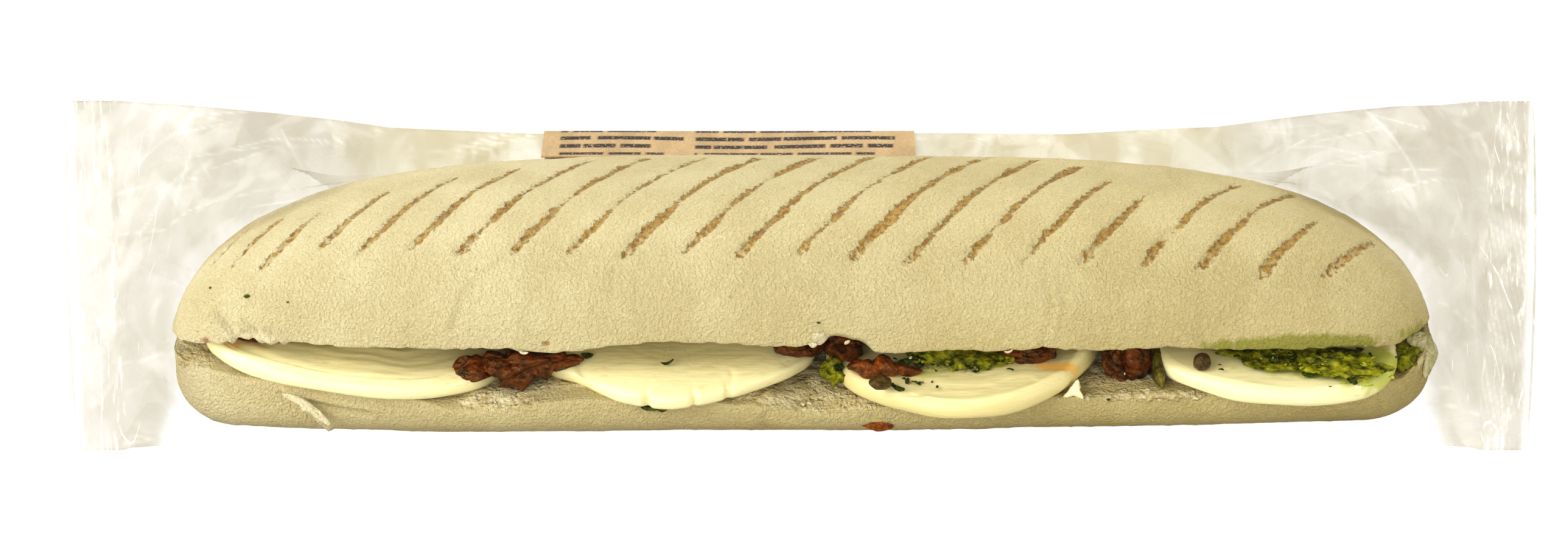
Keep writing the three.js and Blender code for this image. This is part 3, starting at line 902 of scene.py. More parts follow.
@dataclass(frozen=True)
class Loaf:
    """The whole loaf before it is cut: superellipses in plan under a domed crust."""

    half_length: float = 132.5
    widest_y: float = -15.8
    front_depth: float = 21.8
    rear_depth: float = 53.3
    front_power: float = 4.4
    rear_power: float = 2.55
    front_bow: float = 0.04
    base_rim: float = 12.6
    base_dip: float = 0.5
    base_power: Line = ((-132, 3.2), (10, 3.2), (60, 2.7), (132, 2.3))
    base_end_round: float = 13.0
    wall_rise: float = 10.75
    wall_run: float = 76.0
    dome_rise: float = 30.6
    dome_power: float = 2.58
    end_power_left: float = 4.14
    end_power_right: float = 4.85
    end_softness: float = 1.9
    hinge_y: float = 38.5

    def plan(self, x: Array, grow: float = 0.0) -> tuple[Array, Array]:
        """Front and rear edge at x.

        Args:
            x: Places along the loaf.
            grow: Growth all round.

        Returns:
            Y of the front edge and of the rear edge.
        """
        u = np.minimum(1.0, np.abs(x) / (self.half_length + grow))
        bow = 1 - self.front_bow * u * u
        front = self.widest_y - (self.front_depth + grow) * super_round(u, self.front_power) * bow
        rear = self.widest_y + (self.rear_depth + grow) * super_round(u, self.rear_power)
        return front, rear

    def crust(self, x: Array, y: Array, grow: float = 0.0) -> Array:
        """Height of the domed crust.

        Args:
            x: Places along the loaf.
            y: Places across it.
            grow: Growth all round.

        Returns:
            Heights over the table.
        """
        front, rear = self.plan(x, grow)
        half = np.maximum((rear - front) / 2, 1e-6)
        u = np.minimum(1.0, np.abs(x) / (self.half_length + grow))
        power = np.where(np.asarray(x) < 0, self.end_power_left, self.end_power_right)
        fall = (1 - u ** power) ** (1 / self.end_softness)
        wall = self.wall_rise * (self.hinge_y - y) / self.wall_run
        dome = super_round((y - (front + rear) / 2) / half, self.dome_power)
        return self.base_rim + wall + (self.dome_rise + grow) * fall * dome

    def base(self, x: Array, y: Array, grow: float = 0.0) -> Array:
        """Height of the rounded base.

        Args:
            x: Places along the loaf.
            y: Places across it.
            grow: Growth all round.

        Returns:
            Heights over the table, under it where the loaf is cut flat.
        """
        front, rear = self.plan(x, grow)
        half = np.maximum((rear - front) / 2, 1e-6)
        inset = np.clip((self.half_length + grow - np.abs(x)) / self.base_end_round, 0, 1)
        full = np.sqrt(1 - (1 - inset) ** 2)
        bowl = self.base_rim + self.base_dip + grow
        power = along_line(self.base_power, x)
        return self.base_rim - bowl * full * super_round((y - (front + rear) / 2) / half, power)

    def section(self, x: float, grow: float = 0.0, floor: float = 0.0, steps: int = 241
                ) -> Array:
        """Closed outline at x, from the middle of the base to the front, over the crust and back.

        Args:
            x: Place along the loaf.
            grow: Growth all round.
            floor: Height of the flat underside.
            steps: Points over the crust, and as many under the base.

        Returns:
            Points (y, z), one a row.
        """
        front, rear = self.plan(x, grow)
        middle, half = (front + rear) / 2, (rear - front) / 2
        turn = np.sin(np.linspace(-math.pi / 2, math.pi / 2, steps))

        def across(power: float) -> Array:
            """Y places, close together where the outline is steep."""
            return middle + half * np.sign(turn) * np.abs(turn) ** (2 / power)

        over = across(self.dome_power)
        under = across(float(along_line(self.base_power, x)))
        crust = np.stack([over, self.crust(x, over, grow)], axis=1)
        base = np.stack([under, np.maximum(floor, self.base(x, under, grow))], axis=1)
        centre = steps // 2
        return np.vstack([base[centre:0:-1], base[:1], crust, base[:centre:-1]])


@dataclass(frozen=True)
class Tear:
    """A bite torn out of a rim."""

    x: float
    width: float
    height: float
    depth: float

    def at(self, x: Array, inward: Array) -> Array:
        """How far the rim is eaten away, at places along it and inwards from it."""
        shape = np.exp(-np.abs((x - self.x) / self.width) ** 3)
        return self.height * shape * np.exp(-np.maximum(inward, 0) / self.depth)


@dataclass(frozen=True)
class Spot:
    """A soft round patch on a surface."""

    x: float
    y: float
    z: float
    reach: Point
    amount: float = 1.0

    def at(self, points: Array) -> Array:
        """Amount of the patch at points."""
        away = (points - (self.x, self.y, self.z)) / self.reach
        return self.amount * np.exp(-np.sum(away * away, axis=-1))


def spotted(spots: Sequence[Spot], points: Array) -> Array:
    """Sum of patches at points, held at 1."""
    return np.clip(sum((spot.at(points) for spot in spots), np.zeros(points.shape[:-1])), 0, 1)


@dataclass(frozen=True)
class Groove:
    """A soft groove, or a raised lip where its depth is below 0, along a line seen in one plane."""

    line: Line
    width: float
    depth: float
    axes: tuple[int, int] = (0, 2)

    def at(self, points: Array) -> Array:
        """Change of height at points.

        Args:
            points: Points, in the last axis.

        Returns:
            The change, one a point.
        """
        flat = points[..., list(self.axes)]
        nearest = np.full(points.shape[:-1], FAR)
        for start, end in zip(self.line, self.line[1:]):
            start, along = np.array(start), np.subtract(end, start)
            share = np.clip((flat - start) @ along / (along @ along), 0, 1)
            away = flat - start - share[..., None] * along
            nearest = np.minimum(nearest, np.linalg.norm(away, axis=-1))
        return -self.depth * np.exp(-(nearest / self.width) ** 2)


Spots = tuple[Spot, ...]
Grooves = tuple[Groove, ...]


@dataclass(frozen=True)
class Cuts:
    """The two cut faces, which open the loaf along its front and close towards the hinge."""

    loaf: Loaf = Loaf()
    lower_rim: Line = (
        (-132, 17.6), (-116, 16.2), (-88, 13), (-70, 11.3), (-40, 12.9), (-20, 12.4), (3, 10.9),
        (30, 12), (60, 13.4), (100, 13.6), (125, 14.2), (132, 20))
    upper_rim: Line = (
        (-132, 22), (-122, 23.3), (-108, 24.8), (-90, 24.2), (-45, 24), (-28, 26), (-12, 25.5),
        (2, 24.9), (16, 23.7), (60, 24.2), (112, 23.5), (122, 22.2), (132, 25.5))
    lower_slope: float = 0.08
    upper_slope: float = -0.045
    wave: float = 0.25
    gap: float = 0.4
    upper_tears: tuple[Tear, ...] = (
        Tear(8.6, 3.6, 3.2, 3.4), Tear(12.6, 1.6, 1.6, 3.0), Tear(-117.5, 2.6, 0.9, 2.5),
        Tear(-111.8, 1.8, 0.8, 2.5))
    lower_tears: tuple[Tear, ...] = (
        Tear(-66, 8.5, 1.9, 2.4), Tear(6, 10.0, 1.5, 2.4), Tear(-127, 3.0, 0.8, 3.0))

    def lower(self, x: Array, y: Array) -> Array:
        """Height of the lower half's cut face.

        Args:
            x: Places along the loaf.
            y: Places across it.

        Returns:
            Heights over the table.
        """
        inward = y - self.loaf.plan(x)[0]
        crumb = self.wave * (np.sin(x / 5.3) + np.sin(x / 3.1 + y / 4))
        torn = sum(tear.at(x, inward) for tear in self.lower_tears)
        return along_line(self.lower_rim, x) + self.lower_slope * inward + crumb - torn

    def upper(self, x: Array, y: Array) -> Array:
        """Height of the upper half's cut face.

        Args:
            x: Places along the loaf.
            y: Places across it.

        Returns:
            Heights over the table.
        """
        inward = y - self.loaf.plan(x)[0]
        crumb = self.wave * (np.sin(x / 6.1 + 1) + np.sin(x / 3.7))
        torn = sum(tear.at(x, inward) for tear in self.upper_tears)
        face = along_line(self.upper_rim, x) + self.upper_slope * inward + crumb + torn
        return np.maximum(face, self.lower(x, y) + self.gap)


@dataclass(frozen=True)
class GrillMarks:
    """Bars that the grill pressed aslant over the crust."""

    feet: tuple[float, ...] = (
        -136.5, -127.3, -117, -106.2, -95.4, -84.5, -72.8, -61.6, -49.7, -37.8, -25.9, -14, -2.1,
        9.8, 21.7, 33.6, 45.4, 57.1, 70.2, 81.8, 94.4, 106.2)
    ends: Line = (
        (-136, -3), (-117, -9), (-95, 2), (-62, 14), (10, 18), (34, 8), (46, -3), (57, -10),
        (70, 2), (82, 3), (94, -13), (106, -10))
    bend: Line = ((-33, 0), (-24, 8.5), (-15, 14), (-4, 20.5), (4, 25), (25, 36.5))
    edge: Line = (
        (-130, 31), (-123, 34.2), (-117, 37.4), (-100, 41.6), (-80, 42.8), (0, 42.5), (30, 41.2),
        (70, 41), (82, 39.6), (95, 38.2), (109, 37.3))
    width: float = 2.1
    depth: float = 0.5
    reach: float = 6.0
    sway: float = 0.35
    edge_sway: float = 0.4
    torn_reach: float = 3.0

    def read(self, points: Array, relief: Relief) -> tuple[Array, Array, Array]:
        """Grill marks at points on the crust.

        Args:
            points: Points, in the last axis.
            relief: Noise that breaks the marks.

        Returns:
            Distance to the nearest mark's middle line, its strength there, and how torn it is.
        """
        x, y, z = np.moveaxis(points, -1, 0)
        bend_y, bend_x = np.array(self.bend, float).T
        aslant = np.hypot(1.0, np.interp(y, bend_y[:-1] + 4, np.diff(bend_x) / np.diff(bend_y)))
        feet = np.array(self.feet)
        across = np.abs(x - feet[:, None, None] - np.interp(y, bend_y, bend_x)) / aslant
        number = across.argmin(axis=0)
        nearest = np.abs(across.min(axis=0) + self.sway * relief.at(points, 7.0))
        above = z - along_line(self.edge, x) - self.edge_sway * np.sin(2.7 * number)
        patches = relief.at(points + 31.0, 6.0) + 0.6 * relief.at(points, 2.2)
        broken = 0.72 + 0.28 * ramp(patches, -0.8, 0.0)
        uneven = 0.95 + 0.05 * np.sin(1.9 * number + x / 9)
        dark = ramp(y, -8.0, 6.0) * ramp(relief.at(points + 50.0, 5.0), -0.15, 0.3)
        strength = ramp(above, -0.6, 1.0) * broken * uneven
        strength *= ramp(along_line(self.ends, feet[number]) - y, -1.0, 4.0)
        strength *= 1 - 0.16 * ramp(y, -25.0, -8.0)
        strength *= 1 + 0.55 * dark
        return np.minimum(nearest, self.reach), strength, np.exp(-np.maximum(above, 0) / self.torn_reach)


class Half(Enum):
    """The two halves of the cut loaf."""

    TOP = "crust_top"
    BOTTOM = "crust_bottom"


@dataclass
class BreadHalf:
    """One half of the cut loaf: crust outside, crumb on the cut face."""

    half: Half
    node: str
    seed: int
    loaf: Loaf = Loaf()
    cuts: Cuts = Cuts()
    grill: GrillMarks = GrillMarks()
    stations: int = 420
    crust_columns: int = 168
    face_columns: int = 52
    crowding: float = 0.35
    face_crowding: float = 1.7
    green: Spots = ()
    brown: Spots = ()
    pale: Spots = ()
    bare: Spots = ()
    grooves: Grooves = ()
    wrinkles: Grooves = ()
    groove_front: float = -18.0
    wrinkle_floor: float = 36.0
    rim_reach: int = 4
    rim_passes: int = 7
    rag_depth: float = 1.1
    crumb_inward: Pair = (2.5, 8.0)
    off_table: Pair = (0.2, 2.5)
    # Range along the loaf over which the painted shade grows darker towards the right.
    painted_shade_x: Pair = (-120.0, 90.0)

    def cut(self, x: Array, y: Array) -> Array:
        """Height of this half's cut face."""
        return self.cuts.upper(x, y) if self.half is Half.TOP else self.cuts.lower(x, y)

    def ring(self, x: float) -> Array | None:
        """Outline of the half at x: crust from the front rim to the rear, then the cut face back.

        Args:
            x: Place along the loaf.

        Returns:
            Points (x, y, z), one a row, or None where the half has already ended.
        """
        loop = self.loaf.section(x)
        side = 1.0
        if self.half is Half.BOTTOM:
            top = int(np.argmax(loop[:, 1]))
            loop = np.vstack([loop[top:], loop[:top]])[::-1]
            side = -1.0
        height = side * (loop[:, 1] - self.cut(x, loop[:, 0]))
        kept = np.flatnonzero(height > 0.02)
        if len(kept) < 6 or kept[0] == 0 or kept[-1] == len(loop) - 1:
            return None

        def crossing(outside: int, inside: int) -> Array:
            """Point where the outline meets the cut."""
            share = height[outside] / (height[outside] - height[inside])
            return loop[outside] + share * (loop[inside] - loop[outside])

        first, last = kept[0], kept[-1]
        outer = np.vstack([crossing(first - 1, first), loop[first:last + 1], crossing(last + 1, last)])
        even = np.linspace(0, 1, self.crust_columns)
        outer = resample(outer, (1 - self.crowding) * even + self.crowding * even ** 2)
        inward = np.linspace(1, 0, self.face_columns + 2)[1:-1] ** self.face_crowding
        face_y = outer[0, 0] + (outer[-1, 0] - outer[0, 0]) * inward
        face = np.stack([face_y, self.cut(x, face_y)], axis=1)
        flat = np.vstack([outer, face])
        return np.column_stack([np.full(len(flat), x), flat])

    def table(self) -> Array:
        """Rings spaced evenly along the crust and round its ends.

        Returns:
            Rows of closed rings.
        """
        turn = np.linspace(-math.pi / 2 * 0.998, math.pi / 2 * 0.998, 4001)
        x = self.loaf.half_length * np.sin(turn)
        keep = [i for i in range(0, len(x), 8) if self.ring(x[i]) is not None]
        x = x[keep[0]:keep[-1] + 1]
        front, rear = self.loaf.plan(x)
        top = self.loaf.crust(x, (front + rear) / 2)
        path = np.stack([x, front, 0.6 * top], axis=1)
        even = resample(path, np.linspace(0, 1, self.stations))[:, 0]
        rings = [ring for ring in map(self.ring, even) if ring is not None]
        return self.rounded(np.array(rings))

    def rounded(self, table: Array) -> Array:
        """Soften the two rims, where crust meets cut face.

        Args:
            table: Rows of closed rings.

        Returns:
            The same with round rims.
        """
        columns = table.shape[1]
        for rim in (0, self.crust_columns - 1):
            near = (rim + np.arange(-self.rim_reach, self.rim_reach + 1)) % columns
            for _ in range(self.rim_passes):
                before, after = table[:, (near - 1) % columns], table[:, (near + 1) % columns]
                table[:, near] = 0.5 * table[:, near] + 0.25 * (before + after)
        return table

    def build(self, finish: Material) -> None:
        """Model the half and dress it.

        Args:
            finish: The crust's material.
        """
        relief = Relief(self.seed)
        table = self.table()
        x, y, z = np.moveaxis(table, -1, 0)
        on_face = (np.arange(table.shape[1]) >= self.crust_columns).astype(float)
        inward = y - self.loaf.plan(x)[0]
        from_rim = np.where(on_face, np.maximum(inward, 0), np.abs(z - self.cut(x, y)))
        crumb = np.maximum(spotted(self.bare, table), on_face * ramp(inward, *self.crumb_inward))
        distance, strength, torn = self.grill.read(table, relief)
        strength = strength * (1 - on_face) * (self.half is Half.TOP)
        groove = strength * ramp(self.grill.width / 2 + 0.3 - distance, 0.0, 1.1)
        skin = (0.32 * relief.at(table, 24.0) + 0.16 * relief.at(table, 9.0)
                + 0.07 * relief.layered(table, 3.0) + 0.05 * relief.at(table, 1.2)
                + 0.12 * relief.ridged(table, (4.2, 16.0, 14.0)) ** 2)
        open_face = (0.42 * relief.layered(table, 2.6) + 0.3 * relief.at(table, 6.0)
                     - 0.6 * relief.ridged(table, 1.9) ** 3)
        pale = spotted(self.pale, table)
        lift = skin - groove * (self.grill.depth + 0.25 * relief.at(table, 1.4)) + 0.25 * pale
        lift += sum(fold.at(table) for fold in self.grooves) * (y < self.groove_front)
        lift += sum(fold.at(table) for fold in self.wrinkles) * (z > self.wrinkle_floor)
        share = np.clip(crumb, 0, 1)
        lift = lift * (1 - share) + open_face * share
        on_table = ramp(z, *self.off_table)
        table = table + outward(table) * (lift * on_table - 0.02 * (1 - on_table))[..., None]
        table[..., 2] += self.rag(relief, x) * np.exp(-from_rim / self.rag_depth)
        table[..., 2] = np.maximum(table[..., 2], 0.0)
        # Painted shade: darker towards the right, away from the key lamp's side, and lower down where less
        # light falls, except at the far left end.
        low = ramp(-z, -40.0, -4.0) * ramp(x, -130.0, -104.0)
        painted_shade = 0.1 + 0.5 * ramp(x, *self.painted_shade_x) + 0.42 * low
        piece = closed_shell(self.half.value, table, {
            "crumb": crumb,
            "mark": strength,
            "mark_distance": distance,
            "mark_torn": torn * strength,
            "green": spotted(self.green, table),
            "brown": spotted(self.brown, table),
            "pale": pale,
            "painted_shade": np.clip(painted_shade, 0, 1),
        }, angle=60.0)
        dress(piece, finish, "crust", self.node)

    def rag(self, relief: Relief, x: Array) -> Array:
        """How ragged the rim is along the loaf.

        Args:
            relief: Noise of this half.
            x: Places along the loaf.

        Returns:
            Rise of the rim, one a place.
        """
        line = np.stack([x, 0 * x, 0 * x], axis=-1)
        fine = 0.26 * relief.at(line, 1.3) + 0.8 * np.maximum(relief.at(line + 5.0, 3.1) - 0.15, 0)
        return fine if self.half is Half.TOP else -0.5 * fine


def dress(piece: Piece, finish: Material, slot: str, *nodes: str) -> None:
    """Give a piece its material, hang it under the root body and hide the frame's solids that it stands
    for.

    Args:
        piece: The piece.
        finish: Its material.
        slot: The record's material slot; not used.
        nodes: Solids of the frame that it stands for.
    """
    piece.data.materials.append(finish)
    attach(piece, "root")
    if nodes:
        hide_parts(*nodes)
    LOG.info("%s: %d faces", piece.name, len(piece.data.polygons))


@dataclass(frozen=True)
class Notch:
    """A small cut into a slice's front edge."""

    x: float
    depth: float
    width: float


@dataclass
class MozzarellaSlice:
    """A slice with a soft edge, leaning back on the lower half."""

    number: int
    outline: Line
    middle: Pair
    z: float
    roll: float
    thickness: float
    crown: float
    tilt: float = 0.11
    edge: float = 1.7
    edge_window: float = 1.2
    # Y where the painted shadow under the upper half's rim begins, and the ramp of that shadow about it.
    depth: float = -21.5
    rim_shade: Pair = (-2.0, 1.5)
    top_rows: int = 30
    edge_rows: int = 22
    under_rows: int = 9
    base_rows: int = 10
    layers: float = 0.1
    dull: float = 0.0
    notches: tuple[Notch, ...] = ()
    grooves: Grooves = ()
    swells: Spots = ()
    green: Spots = ()
    brown: Spots = ()

    @property
    def front(self) -> float:
        """Y of the slice's nearest point."""
        return min(y for _, y in self.outline)

    @property
    def rim(self) -> Array:
        """Points (x, y) round the slice, one a row."""
        return closed_curve(self.outline, 360)

    def underside(self, x: Array | float, y: Array | float) -> Array | float:
        """Height of the flat underside at a place in plan."""
        return self.z + self.tilt * (y - self.front) + self.roll * (x - self.middle[0])

    def front_edge(self, x: float) -> float | None:
        """Y of the front edge, or None beside the slice."""
        near = self.rim[np.abs(self.rim[:, 0] - x) < self.edge_window]
        return float(near[:, 1].min()) if len(near) else None

    def table(self) -> Array:
        """Rings from the middle of the top over the edge to the middle underneath.

        Returns:
            Rows of closed rings.
        """
        half = self.thickness / 2
        spokes = self.rim - self.middle
        reach = np.linalg.norm(spokes, axis=1)
        over = np.linspace(math.pi / 2, 0, self.edge_rows)
        under = np.linspace(0, -math.pi / 2, self.under_rows)[1:]
        top = np.linspace(0.02, 1, self.top_rows, endpoint=False)
        base = np.linspace(1, 0.02, self.base_rows)[1:]
        radius = np.vstack([top[:, None] * (reach - self.crown),
                            reach - self.crown * (1 - np.cos(over))[:, None],
                            reach - self.edge * (1 - np.cos(under))[:, None],
                            base[:, None] * (reach - self.edge)])
        height = half * np.concatenate([np.ones(len(top)), np.sin(over), np.sin(under),
                                        -np.ones(len(base))])
        for notch in self.notches:
            away = (spokes[:, 0] + self.middle[0] - notch.x) / notch.width
            cut = notch.depth * np.exp(-away * away) * (spokes[:, 1] < 0)
            radius = radius - cut * (radius / reach) ** (reach / 2.0)
        x = self.middle[0] + spokes[:, 0] / reach * radius
        y = self.middle[1] + spokes[:, 1] / reach * radius
        z = self.underside(x, y) + half + height[:, None]
        return np.stack([x, y, z], axis=-1)

    def build(self, finish: Material) -> None:
        """Model the slice and dress it.

        Args:
            finish: The cheese's material.
        """
        relief = Relief(30 + self.number)
        table = self.table()
        rim = table[self.top_rows + self.edge_rows - 1]
        inset = np.linalg.norm(table[..., :2] - rim[:, :2], axis=-1)
        sheet = np.stack([table[..., 0], inset, 0 * inset], axis=-1)
        grain = relief.at(sheet, (13.0, 1.1, 1.0)) + 0.6 * relief.at(sheet + 9.0, (7.0, 0.55, 1.0))
        lift = 0.28 * relief.at(table, 9.0) + self.layers * grain + 0.05 * relief.layered(table, 2.4)
        table = table + outward(table) * lift[..., None]
        up = ramp(outward(table)[..., 2], 0.3, 0.9)
        for feature in (*self.grooves, *self.swells):
            table[..., 2] += feature.at(table) * up
        # Painted shadow: the slice darkens where it runs in under the upper half's rim, kept as the inside
        # attribute.
        into = table[..., 1] + 0.12 * relief.at(table, 7.0) - self.depth
        # Painted light: the top attribute makes upward faces lighter in the material.
        piece = closed_shell(f"mozzarella_slice_{self.number}", table, {
            "top": up,
            "dull": self.dull * (1 - 0.65 * up),
            "inside": 0.8 * ramp(into, *self.rim_shade),
            "green": spotted(self.green, table),
            "brown": spotted(self.brown, table),
        }, angle=50.0)
        dress(piece, finish, "mozzarella", f"mozzarella_{self.number}")


class Skin(Enum):
    """How the surface of a lump is worked."""

    WRINKLED = auto()
    PLUMP = auto()
    CRUMBLED = auto()
    TORN = auto()


@dataclass
class Lump:
    """An uneven lump of food: a ball pulled about, sized, turned and placed."""

    name: str
    node: str
    slot: str
    skin: Skin
    at: Point
    size: Point
    turn: Point = (0.0, 0.0, 0.0)
    seed: int = 0
    rough: float = 0.15
    detail: int = 6
    outline: Line = ()
    grooves: Grooves = ()
    oil: float = 0.0

    def drawn_out(self, points: Array) -> Array:
        """Push the lump's front view out to its outline.

        Args:
            points: The lump's points about its middle.

        Returns:
            The points with their new places.
        """
        rim = closed_curve(self.outline, 720)
        angle = np.arctan2(points[:, 2], points[:, 0])
        reach = np.interp(angle, np.arctan2(rim[:, 1], rim[:, 0]), np.linalg.norm(rim, axis=1),
                          period=2 * math.pi)
        own = 1 / np.hypot(np.cos(angle) / self.size[0], np.sin(angle) / self.size[2])
        return points * np.stack([reach / own, np.ones(len(points)), reach / own], axis=1)

    def swell(self, ball: Array) -> Array:
        """Pull a unit ball about by the same smooth waves as the frame's solid.

        Args:
            ball: Points of the ball.

        Returns:
            Radius factors, one a point.
        """
        x, y, z = ball.T
        seed = self.seed
        slow = np.sin(2.6 * x + 1.7 * seed) * np.cos(2.9 * y + seed) + np.sin(3.4 * z + 2.3 * seed)
        fast = np.sin(6.1 * x + seed) * np.sin(5.3 * y + 2 * seed) * np.cos(4.7 * z)
        return 1 + self.rough * (0.6 * slow + 0.7 * fast)

    def work(self, ball: Array, points: Array) -> Array:
        """Fine form of the skin.

        Args:
            ball: Points of the unit ball; not used.
            points: The swollen lump's points.

        Returns:
            How far each point moves outwards.
        """
        relief = Relief(100 + self.seed)
        small = min(self.size)
        if self.skin is Skin.WRINKLED:
            pull = np.stack([relief.at(points + k, 5.0) for k in (5, 19, 37)], axis=-1)
            pulled = points + 1.8 * pull
            folds = np.abs(relief.at(pulled, (6.5, 3.0, 2.6))) ** 0.6
            creases = np.abs(relief.at(pulled + 23.0, (3.6, 2.4, 1.8))) ** 0.7
            lips = relief.ridged(pulled + 11.0, (2.6, 1.6, 1.3)) ** 2
            return small * (0.34 * folds + 0.16 * creases - 0.34) + 0.2 * lips
        if self.skin is Skin.CRUMBLED:
            ragged = np.abs(relief.at(points, 2.6)) ** 0.7 + 0.5 * relief.at(points, 1.2)
            return 0.85 * ragged - 0.5 * relief.ridged(points, 2.2) - 0.25
        if self.skin is Skin.TORN:
            return 0.5 * relief.layered(points, 2.2) + 0.2 * relief.ridged(points, (4.0, 1.2, 1.2))
        return 0.12 * relief.at(points, 1.6) + 0.05 * relief.at(points, 0.6)

    def build(self, finish: Material) -> None:
        """Model the lump and dress it.

        Args:
            finish: Its material.
        """
        deselect()
        bpy.ops.mesh.primitive_ico_sphere_add(subdivisions=self.detail, radius=1)
        piece = start_piece(self.name)
        ball = points_of(piece)
        ball /= np.linalg.norm(ball, axis=1, keepdims=True)
        points = ball * self.swell(ball)[:, None] * self.size
        if self.outline:
            points = self.drawn_out(points)
        if self.skin is Skin.CRUMBLED:
            edge = Relief(200 + self.seed).layered(points, 3.2)
            points[:, :2] *= 1 + 0.2 * edge[:, None]
        direction = ball / self.size
        direction /= np.linalg.norm(direction, axis=1, keepdims=True)
        lift = self.work(ball, points) + sum(fold.at(points) for fold in self.grooves)
        points = points + direction * lift[:, None]
        spin = np.array(Euler(self.turn, "XYZ").to_matrix())
        place_points(piece, points @ spin.T + self.at)
        if self.slot == "crust":
            paint(piece, "green", np.full(len(points), self.oil))
            paint(piece, "pale", np.ones(len(points)))
        close_up(piece, 60.0)
        nodes = (self.node,) if self.node else ()
        dress(piece, finish, self.slot, *nodes)


